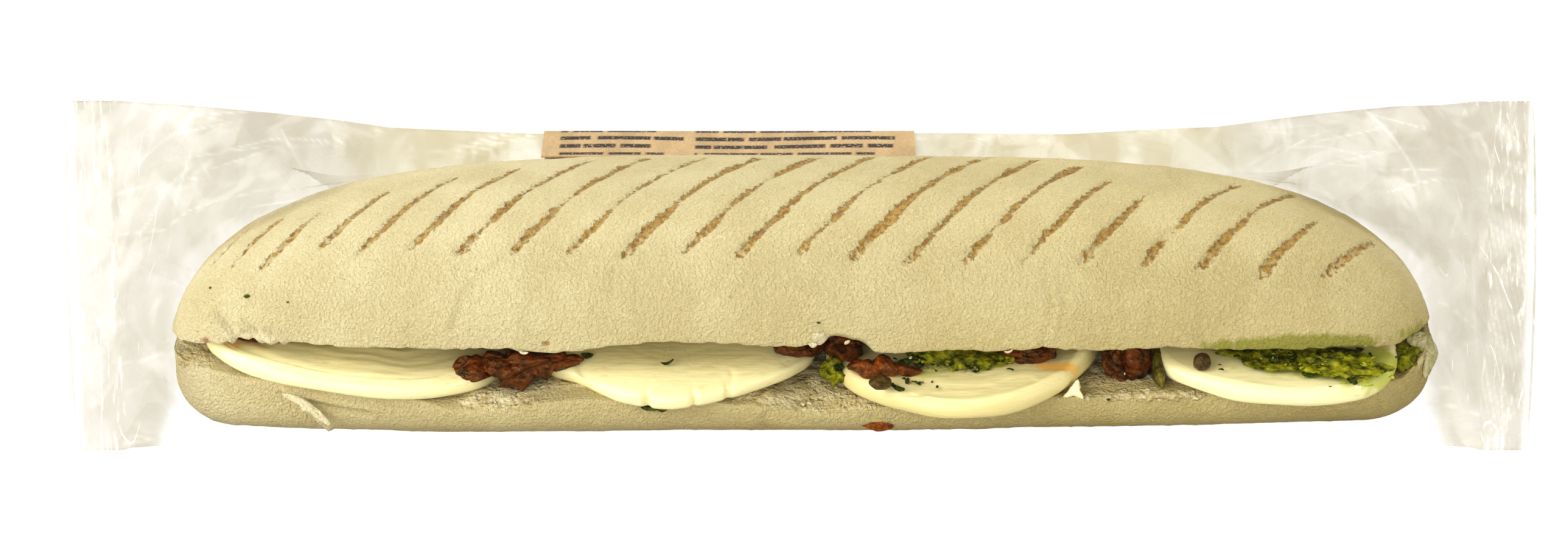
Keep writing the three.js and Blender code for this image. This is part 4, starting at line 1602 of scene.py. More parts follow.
@dataclass
class FilmBag:
    """Clear film round the loaf: close over the bread, a pillow at each end, flat end seals."""

    slices: Sequence[MozzarellaSlice]
    loaf: Loaf = Loaf()
    clearance: float = 0.6
    free_x: float = 104.0
    free_rows: int = 84
    seal_x: float = 156.4
    seal_inner_x: float = 146.5
    seal_outer_x: float = 146.0
    seal_rows: int = 26
    bread_rows: int = 105
    seal_slant: float = 8.2
    seal_bow: float = 1.4
    seal_half_chord: float = 55.0
    seal_tilt: float = 18.0
    seal_z: float = 25.7
    seal_thickness: float = 0.8
    under: float = -0.15
    rest_y: float = 27.5
    columns: int = 236
    crumple: float = 1.5
    crimp: float = 0.12
    crimp_pitch: float = 1.1
    creases: int = 16
    crease_width: float = 0.35
    crease_seed: int = 5
    relief_seed: int = 6
    sag_fade: Pair = (82.0, 116.0)
    end_fade: Pair = (126.0, 140.0)
    past_end: Pair = (130.0, 134.0)
    behind_y: Pair = (12.0, 26.0)
    over_y: Pair = (-12.0, -4.0)
    over_x: Pair = (88.0, 100.0)
    hanging: Pair = (0.8, 1.9)
    gather_x: Pair = (128.0, 149.0)
    seal_edge: Pair = (145.5, 147.5)
    hem_edge: Pair = (154.6, 156.2)
    # Direction of a made-up light: film facets turned side-on to it get a deeper tint, as painted shade;
    # no lamp uses it.
    light: Point = (-0.55, -0.35, 0.76)
    sections: tuple[tuple[float, float, Line], ...] = (
        (136, 0.75, ((-50.4, 8.6), (-20, 26), (15, 37.6), (51.6, 42.3), (18, 22), (-22, 7))),
        (127, 0.45, ((-46, 7.4), (-31, 25.5), (-2, 36.6), (50.6, 41.7), (11, 7), (-28, 2))),
        (116, 0.2, ((-24, 16), (-16, 31), (1, 40), (49.4, 40.9), (16, 6), (0, 8))),
        (104, 0.1, ((-6, 20), (-4, 34), (3, 42.6), (47, 40.4), (22.5, 8), (6, 10))),
        (92, 0.0, ((0, 22), (0, 36), (5, 44.6), (43.6, 40), (27.4, 11), (12, 12))),
        (60, 0.0, ((0, 24), (0, 36), (6.5, 46.9), (41, 39.6), (34.8, 15), (14, 14))),
        (0, 0.0, ((0, 24), (0, 36), (7, 47.3), (41, 39.6), (37.2, 19), (15, 14))))

    def seal_corners(self) -> Array:
        """Corners of the flat seal, which leans up towards the rear.

        Returns:
            Six points (y, z).
        """
        tilt = math.radians(self.seal_tilt)
        along = np.array([math.cos(tilt), math.sin(tilt)])
        up = np.array([-along[1], along[0]]) * self.seal_thickness / 2
        shares = ((-1, 0), (-0.35, 1), (0.35, 1), (1, 0), (0.35, -1), (-0.35, -1))
        return np.array([(0, self.seal_z) + share * self.seal_half_chord * along + side * up
                         for share, side in shares])

    def corners(self, reach: float) -> tuple[float, Array]:
        """Slant and corners of the bag at a distance from the middle.

        Args:
            reach: Distance from the middle, along the loaf.

        Returns:
            Share of the slant there, and six corners (y, z).
        """
        seal = self.seal_corners()
        known = [(self.seal_x, 1.0, seal), (self.seal_inner_x, 1.0, seal),
                 *((x, slant, np.array(corners, float)) for x, slant, corners in self.sections)]
        for (x1, slant1, far), (x0, slant0, near) in zip(known, known[1:]):
            if reach >= x0:
                share = (reach - x0) / (x1 - x0)
                return slant0 + (slant1 - slant0) * share, near + (far - near) * share
        return known[-1][1], known[-1][2]

    def ring(self, x: float) -> Array:
        """Film round everything at x, from the rear fold.

        Args:
            x: Place along the loaf.

        Returns:
            Points (x, y, z), one a row.
        """
        slant, corners = self.corners(abs(x))
        taken = [corners]
        if abs(x) < self.loaf.half_length + self.clearance:
            taken.append(self.loaf.section(x, self.clearance, self.under, steps=121))
        for piece in self.slices:
            y = piece.front_edge(x)
            if y is not None:
                z = piece.underside(x, y)
                taken.append(np.array([(y - 0.35, z + 0.8), (y - 0.35, z + piece.thickness - 0.8)]))
        outline = hull_of(np.vstack(taken))
        start = int(np.argmax(outline @ (1.0, 0.45)))
        outline = np.vstack([outline[start:], outline[:start + 1]])
        outline = resample(outline, np.linspace(0, 1, self.columns + 1)[:-1])
        outline[:, 1] -= self.sag(x, outline)
        share = outline[:, 0] / self.seal_half_chord
        shift = slant * (self.seal_slant * share + self.seal_bow * (1 - share * share))
        return np.column_stack([x + math.copysign(1.0, x) * shift, outline])

    def sag(self, x: float, outline: Array) -> Array:
        """How far the film sinks into the hollow between the crust and the rear fold.

        Args:
            x: Place along the loaf.
            outline: Points (y, z) of the taut film.

        Returns:
            Drop, one a point.
        """
        y, z = outline.T
        rest_y, fold_y = self.rest_y, float(outline[0, 0])
        rest_z = float(self.loaf.crust(x, rest_y, self.clearance))
        share = np.clip((y - rest_y) / (fold_y - rest_y), 0, 1)
        line = rest_z + (outline[0, 1] - rest_z) * share
        crust = self.loaf.crust(x, np.minimum(y, rest_y), self.clearance)
        low = np.where(y < rest_y, crust, line)
        sinks = (y > 4) & (z > rest_z - 3)
        return np.where(sinks, np.maximum(z - low, 0), 0) * (1 - ramp(abs(x), *self.sag_fade))

    def table(self) -> Array:
        """Rings close together at the free ends and far apart along the bread.

        Returns:
            Rows of closed rings.
        """
        pillow = np.linspace(self.free_x, self.seal_outer_x, self.free_rows, endpoint=False)
        free = np.concatenate([pillow, np.linspace(self.seal_outer_x, self.seal_x, self.seal_rows)])
        middle = np.linspace(-self.free_x, self.free_x, self.bread_rows)[1:-1]
        return np.array([self.ring(x) for x in (*-free[::-1], *middle, *free)])

    def gap_to_loaf(self, table: Array) -> Array:
        """How far the film hangs off the loaf.

        Args:
            table: Points of the film, as rows of rings.

        Returns:
            Distance, one a point.
        """
        gaps = np.full(table.shape[:2], FAR)
        for row, ring in enumerate(table):
            x = float(ring[:, 0].mean())
            if abs(x) < self.loaf.half_length:
                skin = self.loaf.section(x, steps=121)
                away = ring[:, None, 1:] - skin[None, :, :]
                gaps[row] = np.linalg.norm(away, axis=-1).min(axis=1)
        return gaps

    def folds(self, table: Array) -> tuple[Array, Array]:
        """Crisp folds of crumpled film: many straight creases laid over each other.

        Args:
            table: Points of the film.

        Returns:
            Heights from -1 to 1, and how near a crease runs, 0 to 1.
        """
        draw = np.random.default_rng(self.crease_seed)
        relief = Relief(self.relief_seed)
        x, y, z = np.moveaxis(table, -1, 0)
        warp = 3.0 * relief.at(table, 26.0)
        total = np.zeros(x.shape)
        crease = np.zeros(x.shape)
        for k in range(self.creases):
            heading = draw.uniform(-0.6, 0.6) if k % 3 else draw.uniform(1.1, 1.9)
            pitch = draw.uniform(15.0, 34.0)
            across = (-math.sin(heading) * x + math.cos(heading) * (y + 0.5 * z)) + warp
            phase = across / pitch + draw.uniform(0, 1) + 0.2 * relief.at(table + 9.0 * k, 30.0)
            wave = np.abs(phase % 2 - 1)
            total += (wave - 0.5) * draw.choice((-1.0, 1.0))
            sharp = np.minimum(wave, 1 - wave) * pitch
            live = ramp(relief.at(table + 17.0 * k, 22.0), 0.25, 0.6)
            crease = np.maximum(crease, live * np.exp(-(sharp / self.crease_width) ** 2))
        return total / 3.2, crease

    def build(self, finish: Material) -> None:
        """Model the film and dress it.

        Args:
            finish: The film's material.
        """
        table = self.table()
        x, y, z = np.moveaxis(table, -1, 0)
        along = np.abs(x)
        ends = ramp(along, *self.end_fade)
        behind = ramp(y, *self.behind_y)
        past_end = ramp(along + np.maximum(z + 0.47 * y - 27, 0), *self.past_end)
        over = ramp(y, *self.over_y) * ramp(along, *self.over_x)
        hangs = ramp(self.gap_to_loaf(table), *self.hanging)
        free = hangs * np.maximum(np.maximum(past_end, over), behind)
        rise = ramp(along, *self.sag_fade)
        sheet = ramp(z, 26.0, 32.0) * ramp(y, 4.0, 12.0)
        free *= 1 - 3.4 * rise * (1 - rise) * sheet * (1 - ramp(y, 30.0, 40.0))
        reach = along - self.seal_slant * y / self.seal_half_chord
        seal = ramp(reach, *self.seal_edge)
        height, crease = self.folds(table)
        lift = self.crumple * height * np.maximum(ends * (1 - 0.8 * seal), behind * 0.15)
        lift += seal * self.crimp * np.sin(along * 2 * math.pi / self.crimp_pitch)
        table = table + outward(table) * lift[..., None]
        table[..., 2] = np.maximum(table[..., 2], self.under)
        # Painted shade in the film's tint: deeper towards the right and on facets turned side-on to the
        # made-up light, with extra tint at the rear of the right end and behind the left half.
        facing_light = outward(table) @ np.array(self.light)
        haze_and_shade = 0.8 + 0.14 * ramp(x, -60.0, 60.0) + 0.35 * (0.7 - np.abs(facing_light))
        haze_and_shade += 0.25 * ramp(y, 5.0, 40.0) * ends * (x > 0)
        haze_and_shade += 0.22 * behind * ramp(-x, 20.0, 60.0) * (1 - ends)
        hem = 1 - 0.6 * ramp(reach, *self.hem_edge)
        # The crease and gather masks also place the film's painted highlights.
        piece = closed_shell("film", table, {
            "free": free * hem,
            "crease": np.clip((0.6 * crease * free * (1 - 0.8 * seal)) * hem, 0, 1),
            "haze_and_shade": np.clip(haze_and_shade * free * hem, 0, 1.3),
            "behind": ramp(110.0 - along, 0.0, 30.0),
            "gather": ramp(reach, *self.gather_x) * (0.65 + 0.35 * (x > 0)) * free,
            "seal": seal,
            "reach": reach,
            "height": table[..., 1] + table[..., 2],
        }, angle=14.0)
        dress(piece, finish, "film", "bag")


@dataclass
class PaperLabel:
    """Paper strip stuck to the film: down behind the crust, round the fold and down the back."""

    start_x: float = -57.0
    end_x: float = 25.2
    lift: float = 0.7
    thickness: float = 0.3
    across: int = 161
    down: int = 111
    line: Line = ((27.3, 39.2), (41, 39.6), (38.6, 19), (38.3, 12))
    outward: Line = ((0.15, 0.5), (0.85, 0.35), (0.99, -0.09), (1, 0))
    soft_bend: float = 0.02
    bar_pitch: float = 4.3
    bar_height: float = 2.0
    bar_columns: tuple[Pair, Pair] = ((-53.0, 27.0), (-23.5, 47.0))
    bar_ragged: float = 4.0
    columns_part_x: float = -25.0
    margin: float = 1.0

    def build(self, finish: Material) -> None:
        """Bend a flat strip over the fold, give it its thickness and dress it.

        Args:
            finish: The paper's material.
        """
        deselect()
        bpy.ops.mesh.primitive_grid_add(x_subdivisions=self.across - 1,
                                        y_subdivisions=self.down - 1, size=2)
        piece = start_piece("paper_label")
        share_x, share_s = ((points_of(piece)[:, k] + 1) / 2 for k in (0, 1))
        points = np.array(self.line) + np.array(self.outward) * self.lift
        soft = [resample(points, np.clip(share_s + d, 0, 1))
                for d in (-self.soft_bend, 0, self.soft_bend)]
        path = 0.5 * soft[1] + 0.5 * np.mean(soft, axis=0)
        x = self.start_x + (self.end_x - self.start_x) * share_x
        wave = 0.25 * np.sin(x / 9.0) * np.sin(share_s * 9.0)
        place_points(piece, np.column_stack([x, path[:, 0], path[:, 1] + wave]))
        length = np.linalg.norm(np.diff(points, axis=0), axis=1).sum()
        paint(piece, "print", self.bars(x, share_s * length))
        select_only(piece)
        bpy.ops.object.modifier_add(type="SOLIDIFY")
        wall = piece.modifiers[-1]
        wall.thickness = self.thickness * MM
        wall.offset = 1.0
        bpy.ops.object.modifier_apply(modifier=wall.name)
        close_up(piece)
        dress(piece, finish, "paper", "label")

    def bars(self, x: Array, down: Array) -> Array:
        """Plain dark bars in rows, two columns of them.

        Args:
            x: Places along the label.
            down: Places down it, from its upper edge.

        Returns:
            1 in a bar and 0 between.
        """
        row = np.floor(down / self.bar_pitch)
        in_row = (down % self.bar_pitch) < self.bar_height
        column = (x >= self.columns_part_x).astype(int)
        start, width = np.moveaxis(np.array(self.bar_columns)[column], -1, 0)
        end = start + width - self.bar_ragged * (1 + np.sin(row * 2.3 + column))
        words = np.sin(1.5 * x + 2.1 * row) + np.sin(0.93 * x + 4.7 * row) > -1.45
        return (in_row & (x > start) & (x < end) & words & (down > self.margin)).astype(float)


@dataclass(frozen=True)
class Lamp:
    """A square lamp: its place and the length of its side in metres, and its power in watts."""

    name: str
    spot: Point
    size: float
    power: float


@dataclass(frozen=True)
class Studio:
    """Plain pale floor, soft lamps all round and the camera of the picture."""

    look_down: float = 25.0
    distance: float = 900.0
    aim: Point = (0.0, -3.05, 24.0)
    sideways: float = -3.73
    upwards: float = 1.61
    sensor: float = 36.0
    lens: float = 96.46
    clip: Pair = (0.05, 50.0)
    floor_z: float = -0.4
    floor_size: float = 8.0
    sky: float = 0.4
    lamps: tuple[Lamp, ...] = (
        Lamp("key", (-1.05, -0.7, 0.9), 0.9, 14.5), Lamp("fill", (-0.3, -1.35, 0.22), 1.0, 9.4),
        Lamp("side", (1.25, -0.55, 0.35), 0.9, 6.8), Lamp("low", (-1.25, -0.35, 0.16), 0.7, 5.4),
        Lamp("rear", (0.1, 0.9, 1.2), 1.1, 18.0))

    def build(self) -> None:
        """Set up the whole studio."""
        self.add_camera()
        self.add_floor()
        for lamp in self.lamps:
            self.add_light(lamp)
        world = bpy.data.worlds.new("studio")
        world.use_nodes = True
        sky = world.node_tree.nodes["Background"]
        Graph(world.node_tree).fill(sky, Color=(1, 1, 1, 1), Strength=self.sky)
        bpy.context.scene.world = world
        bpy.context.scene.view_settings.view_transform = "Standard"
        bpy.context.scene.view_settings.look = "Medium High Contrast"
        LOG.info("studio ready")

    def add_camera(self) -> None:
        """Camera that looks along +Y and down."""
        down = math.radians(self.look_down)
        ahead = Vector((0, math.cos(down), -math.sin(down)))
        above = Vector((0, math.sin(down), math.cos(down)))
        spot = Vector(self.aim) - self.distance * ahead + Vector((self.sideways, 0, 0))
        spot += self.upwards * above
        bpy.ops.object.camera_add(location=spot * MM, rotation=(math.pi / 2 - down, 0, 0))
        camera = bpy.context.object
        camera.data.sensor_width = self.sensor
        camera.data.lens = self.lens
        camera.data.clip_start, camera.data.clip_end = self.clip
        bpy.context.scene.camera = camera

    def add_floor(self) -> None:
        """Wide flat floor just under the film."""
        deselect()
        bpy.ops.mesh.primitive_plane_add(size=self.floor_size, location=(0, 0, 0))
        floor = start_piece("floor")
        place_points(floor, points_of(floor) / MM + (0, 0, self.floor_z))
        floor.data.materials.append(FloorFinish().material())

    def add_light(self, lamp: Lamp) -> None:
        """Place a lamp so that it faces the object.

        Args:
            lamp: The lamp.
        """
        facing = (Vector(self.aim) * MM - Vector(lamp.spot)).to_track_quat("-Z", "Y").to_euler()
        bpy.ops.object.light_add(type="AREA", location=lamp.spot, rotation=facing)
        light = bpy.context.object
        light.name = lamp.name
        light.data.size = lamp.size
        light.data.energy = lamp.power


TOMATO = JuicyFinish("dried_tomato", tone(114, 56, 12), tone(30, 12, 2), 3.4, 1.1, 0.18, 0.3, 0.03,
                     shine_level=0.42)
RED_TOMATO = JuicyFinish("red_tomato", tone(142, 72, 14), tone(50, 19, 3), 3, 1, 0.18, 0.3, 0.04,
                         shine_level=0.42)
CAPER = JuicyFinish("caper", tone(94, 72, 38), tone(44, 32, 14), 1.6, 0.5, 0.28, 0.15)
LEAF = JuicyFinish("leaf", tone(122, 110, 42), tone(48, 40, 12), 3, 0.8, 0.3, 0.2)
PESTO = JuicyFinish("pesto", tone(150, 148, 22), tone(16, 25, 3), 3, 1, 0.2, 0.3,
                    shine=(0.95, 0.9, 0.34, 1))
FLAKE = JuicyFinish("herb_flake", tone(66, 84, 18), tone(15, 24, 5), 1.2, 0.5, 0.2, 0.15)
LIGHT_FLAKE = JuicyFinish("light_flake", tone(186, 184, 62), tone(132, 136, 34), 1.2, 0.5, 0.22, 0.15)

FACING = (math.radians(-25), 0, 0)

SLICES = (
    MozzarellaSlice(
        1, ((-125.5, -22), (-122.3, -29), (-115, -33.8), (-104, -37.2), (-92, -38.3), (-80, -37.6),
            (-72.5, -34.4), (-65, -28.6), (-60, -18), (-61, -5), (-72, 6), (-90, 11), (-108, 7),
            (-122, -6)),
        (-91.5, -14), 13.2, -0.1, 4.4, 3, layers=0.18,
        brown=(Spot(-112, -28, 21, (14, 3.5, 3), 0.34), Spot(-118, -27, 21, (5, 3, 2.5), 0.3))),
    MozzarellaSlice(
        2, ((-55.6, -21), (-53.4, -27.6), (-47.3, -31.6), (-39.4, -38.2), (-33, -40.7), (-26.4, -41.5),
            (-17.4, -38.8), (-9.5, -34.8), (-1, -28.8), (3, -22), (1, -8), (-10, 7), (-26, 13),
            (-42, 7), (-53, -6)),
        (-25.5, -15), 11.9, 0.006, 5.2, 12, layers=0.05,
        notches=(Notch(-32.4, 1.5, 0.8), Notch(-22.4, 1.1, 0.7), Notch(-15, 1, 0.8)),
        grooves=(Groove(((-14.4, -33.5), (-15.2, -38)), 0.6, 0.45, (0, 1)),
                 Groove(((-47.6, -27), (-45.3, -33.5)), 0.9, 0.5, (0, 1)),
                 Groove(((-3.4, -29), (0.4, -25)), 0.8, 0.3, (0, 1)))),
    MozzarellaSlice(
        3, ((5, -22), (8.4, -31.9), (13.7, -37.8), (19.5, -41.7), (30.6, -45.8), (41.6, -44.9),
            (50.6, -40.2), (58.4, -31.6), (63, -20), (61, -5), (50, 8), (34, 12.5), (18, 8), (7, -5)),
        (34, -17), 11.9, 0.035, 4.4, 2, layers=0.16, dull=0.95,
        grooves=(Groove(((19, -41.3), (35.5, -42.6), (48.3, -38.4)), 0.45, 0.3, (0, 1)),
                 Groove(((27, -39.6), (40, -40), (51, -35.6)), 0.4, 0.22, (0, 1))),
        swells=(Spot(60.5, -29.5, 19, (4.5, 3.6, 4), 1.4), Spot(52, -33.6, 18, (6, 1.2, 4), -0.4)),
        green=(Spot(27, -34, 17.6, (12, 5, 4), 0.5),),
        brown=(Spot(53.5, -33, 18.6, (6, 1.9, 3), 1),)),
    MozzarellaSlice(
        4, ((73, -22), (77, -33.2), (86, -39.3), (95.7, -42.4), (106.5, -43.2), (115.4, -40.8),
            (121.7, -35.8), (125, -27), (124, -14), (117, 2), (101, 9.5), (85, 4), (75, -9)),
        (99.5, -16), 13.4, 0, 4.4, 2, layers=0.06,
        green=(Spot(106, -33.5, 19, (19, 4.4, 4), 0.9), Spot(115.5, -37, 18.4, (7, 5.5, 4), 0.85),
               Spot(121, -31, 19, (5, 9, 5), 0.8))),
)

FILLINGS = (
    Lump("dried_tomato_1", "tomato_1", "tomato", Skin.WRINKLED, (-60, -29.5, 17.9), (12.6, 4.8, 4.4),
         FACING, 1, 0.03,
         outline=((-13.5, -3.3), (-12.7, -1), (-10.9, 0.8), (-8, 2.1), (-2.2, 2.9), (4.2, 2.9), (9.7, 2.4),
                  (13.7, 1.6), (15.2, 0.3), (12, -1.1), (7.9, -3), (4.3, -4.5), (1.7, -6.3), (-0.1, -5.7),
                  (-2.7, -5.9), (-3.6, -4.4), (-5.7, -3.9), (-8, -5.1), (-10.9, -5.1), (-13, -4.4)),
         grooves=(Groove(((-7.5, 3), (-6.6, -1), (-5.6, -4.5)), 0.8, 1.2),
                  Groove(((-2.4, 3), (-0.6, -1.4), (1.2, -4.6), (4, -2.2), (8.5, 0), (13, 1)), 0.7, 1),
                  Groove(((1, 3), (2, -0.6), (6.5, 0.8), (10, 2)), 0.7, -0.7))),
    Lump("dried_tomato_2", "tomato_2", "tomato", Skin.WRINKLED, (-0.6, -25.6, 20), (6.2, 4.6, 1.9),
         (0.1, 0.12, 0.1), 2, 0.12),
    Lump("dried_tomato_3", "tomato_3", "tomato", Skin.WRINKLED, (8.6, -24.6, 19.2), (4.6, 6, 4.2),
         (0, 0, 0.2), 3, 0.16),
    Lump("dried_tomato_4", "tomato_4", "red_tomato", Skin.WRINKLED, (17.4, -33.6, 18.9), (7.6, 3, 1.9),
         FACING, 4, 0.03,
         outline=((-8.1, 0.2), (-6.8, 1.1), (-3.7, 1.5), (-0.5, 2.4), (2.7, 1.1), (5.2, -0.2), (8, -1.7),
                  (5.8, -2.8), (2.7, -2.6), (-0.5, -2.3), (-3.7, -3.1), (-6.2, -1.5), (-7.7, -0.9)),
         grooves=(Groove(((-2.6, 1.6), (-1.4, -0.4), (-1, -2.4)), 0.6, 0.8),
                  Groove(((1.6, 1.4), (3, -0.6), (2.6, -2.6)), 0.6, 0.6))),
    Lump("dried_tomato_5", "tomato_5", "tomato", Skin.WRINKLED, (47.4, -28.8, 20.2), (6.6, 4.6, 2.6),
         (0.1, -0.08, 0), 5, 0.15),
    Lump("dried_tomato_6", "tomato_6", "tomato", Skin.WRINKLED, (67.4, -28, 18.2), (4.8, 4.4, 5.2),
         FACING, 6, 0.03,
         outline=((-4.5, -1), (-4.1, -3), (-2.7, -4.8), (-1.2, -6.4), (0.9, -7.2), (1.8, -6.6),
                  (2.3, -5.6), (3.8, -5.3), (5.3, -3.8), (5.8, -1.7), (5.5, 2.2), (3, 4.4), (-1, 4.4),
                  (-4, 2.6)),
         grooves=(Groove(((-1, 4.5), (-0.5, 0), (0.2, -3), (1, -5.5)), 0.8, 1.3),)),
    Lump("dried_tomato_7", "tomato_7", "red_tomato", Skin.WRINKLED, (15.8, -36.4, 6.2), (3.1, 1, 1),
         (0.7, 0, 0), 7, 0.12, 5),
    Lump("dried_tomato_8", "tomato_8", "tomato", Skin.WRINKLED, (-114.5, -24.6, 21.9), (8.4, 3.2, 0.8),
         (0.1, 0.1, 0), 8, 0.1, 5),
    Lump("caper_front", "caper_1", "caper", Skin.PLUMP, (16.2, -40.8, 18.5), (2.4, 1.9, 1.55),
         (0, 0.12, 0.3), 9, 0.07, 5),
    Lump("caper_right", "caper_2", "caper", Skin.PLUMP, (83.1, -34.6, 20.2), (1.9, 1.9, 1.8),
         (0, 0, 0), 10, 0.05, 5),
    Lump("olive_leaf", "leaf_1", "leaf", Skin.PLUMP, (74.4, -27.2, 16.2), (1.5, 7.6, 3.3),
         (0.28, 0, 0.1), 11, 0.05, 5),
    Lump("pesto_heap_1", "pesto_1", "pesto", Skin.CRUMBLED, (6.8, -29.6, 15.8), (2.8, 3.4, 3),
         (0, 0, 0), 12, 0.16, 5),
    Lump("pesto_heap_2", "pesto_2", "pesto", Skin.CRUMBLED, (33.4, -28, 19.5), (12.2, 6.6, 1.7),
         (0.1, 0.03, -0.06), 13, 0.2),
    Lump("pesto_heap_3", "pesto_3", "pesto", Skin.CRUMBLED, (103.8, -31, 20), (15.6, 6.4, 1.5),
         (0.1, 0, -0.28), 14, 0.2),
    Lump("pesto_heap_4", "pesto_4", "pesto", Skin.CRUMBLED, (127, -24.6, 17), (3.4, 5, 2.6),
         (0, 0, -0.35), 15, 0.13),
    Lump("mozzarella_bit", "mozzarella_scrap", "mozzarella", Skin.TORN, (57.2, -36.2, 14.4),
         (2, 0.9, 1.9), FACING, 16, 0.03, 5,
         outline=((0.2, 2.1), (0.8, 0.2), (1.3, -1.7), (-0.8, -1.3), (-2.8, -1.4), (-1.6, 0.3))),
    Lump("torn_lip", "", "crust", Skin.PLUMP, (131.5, -25.5, 17.8), (2, 0.75, 4.8), FACING,
         17, 0.02, 5, oil=0.55,
         outline=((-0.4, 4.5), (0.5, 4.35), (1.15, 2.7), (2.15, 0.25), (1.65, -1.9), (0.5, -4.2),
                  (-0.65, -5.3), (-1.15, -4.1), (-1, -2.2), (-1, -0.4), (-2.3, 0.7), (-4.2, 1.7),
                  (-4.4, 3.3), (-2.1, 4.5))),
    Lump("peeled_strand", "", "crust", Skin.TORN, (-103.4, -37.5, 10.9), (5, 0.55, 3), FACING, 18, 0.02, 5,
         outline=((0.9, -0.9), (3.1, -2.55), (4.6, -3.6), (5.1, -2.75), (2.75, -0.3), (0, 1.5),
                  (-2.85, 2.95), (-4.9, 3.05), (-3.6, 1.9), (-1.3, 0.55), (-0.3, -0.3))),
)


@dataclass(frozen=True)
class Shard:
    """One thin, curled flake: where it lies, its size, its heading and lean in degrees."""

    at: Point
    size: Point
    heading: float = 0.0
    lean: float = 0.0
    curl: float = 0.3


@dataclass
class Shards:
    """Flakes of one kind, joined."""

    name: str
    slot: str
    shards: Sequence[Shard]
    seed: int
    detail: int = 3
    ragged: float = 0.35

    def build(self, finish: Material) -> None:
        """Shape a ball into each flake and dress them.

        Args:
            finish: Their material.
        """
        deselect()
        bpy.ops.mesh.primitive_ico_sphere_add(subdivisions=self.detail, radius=1)
        piece = start_piece(self.name)
        bpy.ops.object.mode_set(mode="EDIT")
        for _ in self.shards[1:]:
            bpy.ops.mesh.primitive_ico_sphere_add(subdivisions=self.detail, radius=1)
        bpy.ops.object.mode_set(mode="OBJECT")
        balls = points_of(piece).reshape(len(self.shards), -1, 3)
        relief = Relief(self.seed)
        for index, (shard, ball) in enumerate(zip(self.shards, balls)):
            away = ball * 3.0 + 13.0 * index
            rim = 1 + self.ragged * relief.layered(away, 2.2)
            points = ball * rim[:, None] * np.array(shard.size) / 2
            across = points[:, 0] / shard.size[0] * 2
            points[:, 2] += shard.curl * shard.size[0] * (across ** 2 - 0.3) / 2
            points[:, 2] += 0.16 * shard.size[1] * relief.at(away + 5.0, 1.6)
            turn = Euler((math.radians(shard.lean), 0.0, math.radians(shard.heading)), "XYZ")
            balls[index] = points @ np.array(turn.to_matrix()).T + shard.at
        place_points(piece, balls.reshape(-1, 3))
        if self.slot == "crust":
            paint(piece, "pale", np.ones(len(piece.data.vertices)))
        close_up(piece, 60.0)
        dress(piece, finish, self.slot)


def flakes_on(slice_: MozzarellaSlice, spread: Spot, count: int, seed: int) -> list[Shard]:
    """Herb flakes strewn over a slice.

    Args:
        slice_: The slice they lie on.
        spread: Middle and reach of the strewn patch; its amount is how high they are heaped.
        count: How many.
        seed: Seed of their places.

    Returns:
        The flakes.
    """
    draw = np.random.default_rng(seed)
    shards = []
    for _ in range(count):
        x = spread.x + spread.reach[0] * draw.normal(0, 0.5)
        y = spread.y + spread.reach[1] * draw.normal(0, 0.5)
        size = 0.8 + 1.6 * draw.random() ** 2
        high = slice_.underside(x, y) + slice_.thickness + 0.15 + spread.amount * draw.random()
        shards.append(Shard((x, y, high), (size, size * draw.uniform(0.35, 0.7), 0.22),
                            draw.uniform(0, 360), draw.uniform(-25, 40), draw.uniform(-0.3, 0.4)))
    return shards


LOWER_HALF = BreadHalf(
    Half.BOTTOM, "bread_bottom", 12, crust_columns=112, face_columns=70, crowding=0.6, rim_reach=9,
    rim_passes=16,
    bare=(Spot(-127.4, -26.5, 17.6, (5, 4, 3), 0.9), Spot(-64, -34.4, 11.8, (10, 4, 2.6), 1),
          Spot(-3, -33, 11.8, (14, 5, 2.6), 1), Spot(9, -36, 11.2, (7, 3, 1.6), 0.9),
          Spot(66, -36, 13.2, (12, 2.6, 1.4), 0.7), Spot(81, -36, 13.6, (7, 2.2, 1.3), 0.6),
          Spot(130.5, -25, 19, (4, 7, 5), 1)),
    pale=(Spot(-106, -35, 12.6, (2.4, 3, 1.6), 0.8), Spot(-103.3, -35, 10, (1.5, 3, 1.6), 0.8),
          Spot(-100.7, -35, 7.4, (1.2, 3, 1.8), 0.8), Spot(-99.2, -35, 5.2, (0.9, 3, 1.2), 0.8),
          Spot(130.5, -25, 20, (3, 5, 3), 0.6)),
    green=(Spot(130.5, -25, 18.5, (3.5, 7, 4), 0.5), Spot(-31, -37.5, 10.6, (3, 1.5, 1), 0.7),
           Spot(-50, -33, 13, (5, 3, 1.5), 0.3)),
    brown=(Spot(4, -33, 11.6, (5, 3, 1.2), 0.2), Spot(74, -33, 13.8, (5, 3, 1.4), 0.3)),
    grooves=(Groove(((-107.4, 13.8), (-103.1, 10.1), (-98.9, 4.7)), 0.75, -1.1),
             Groove(((-108.6, 12.6), (-104.8, 9.2), (-100.6, 5.2)), 0.7, 0.6),
             Groove(((-104.9, 11.4), (-97.3, 9.8), (-90.3, 8.8)), 0.7, 0.7),
             Groove(((-103, 12.4), (-96, 10.9), (-90, 9.8)), 0.7, -0.4),
             Groove(((-7.4, 4.5), (-7.9, 8), (-6, 11)), 0.8, 0.3),
             Groove(((40.7, 4.5), (41.4, 7.5)), 0.8, 0.25)))

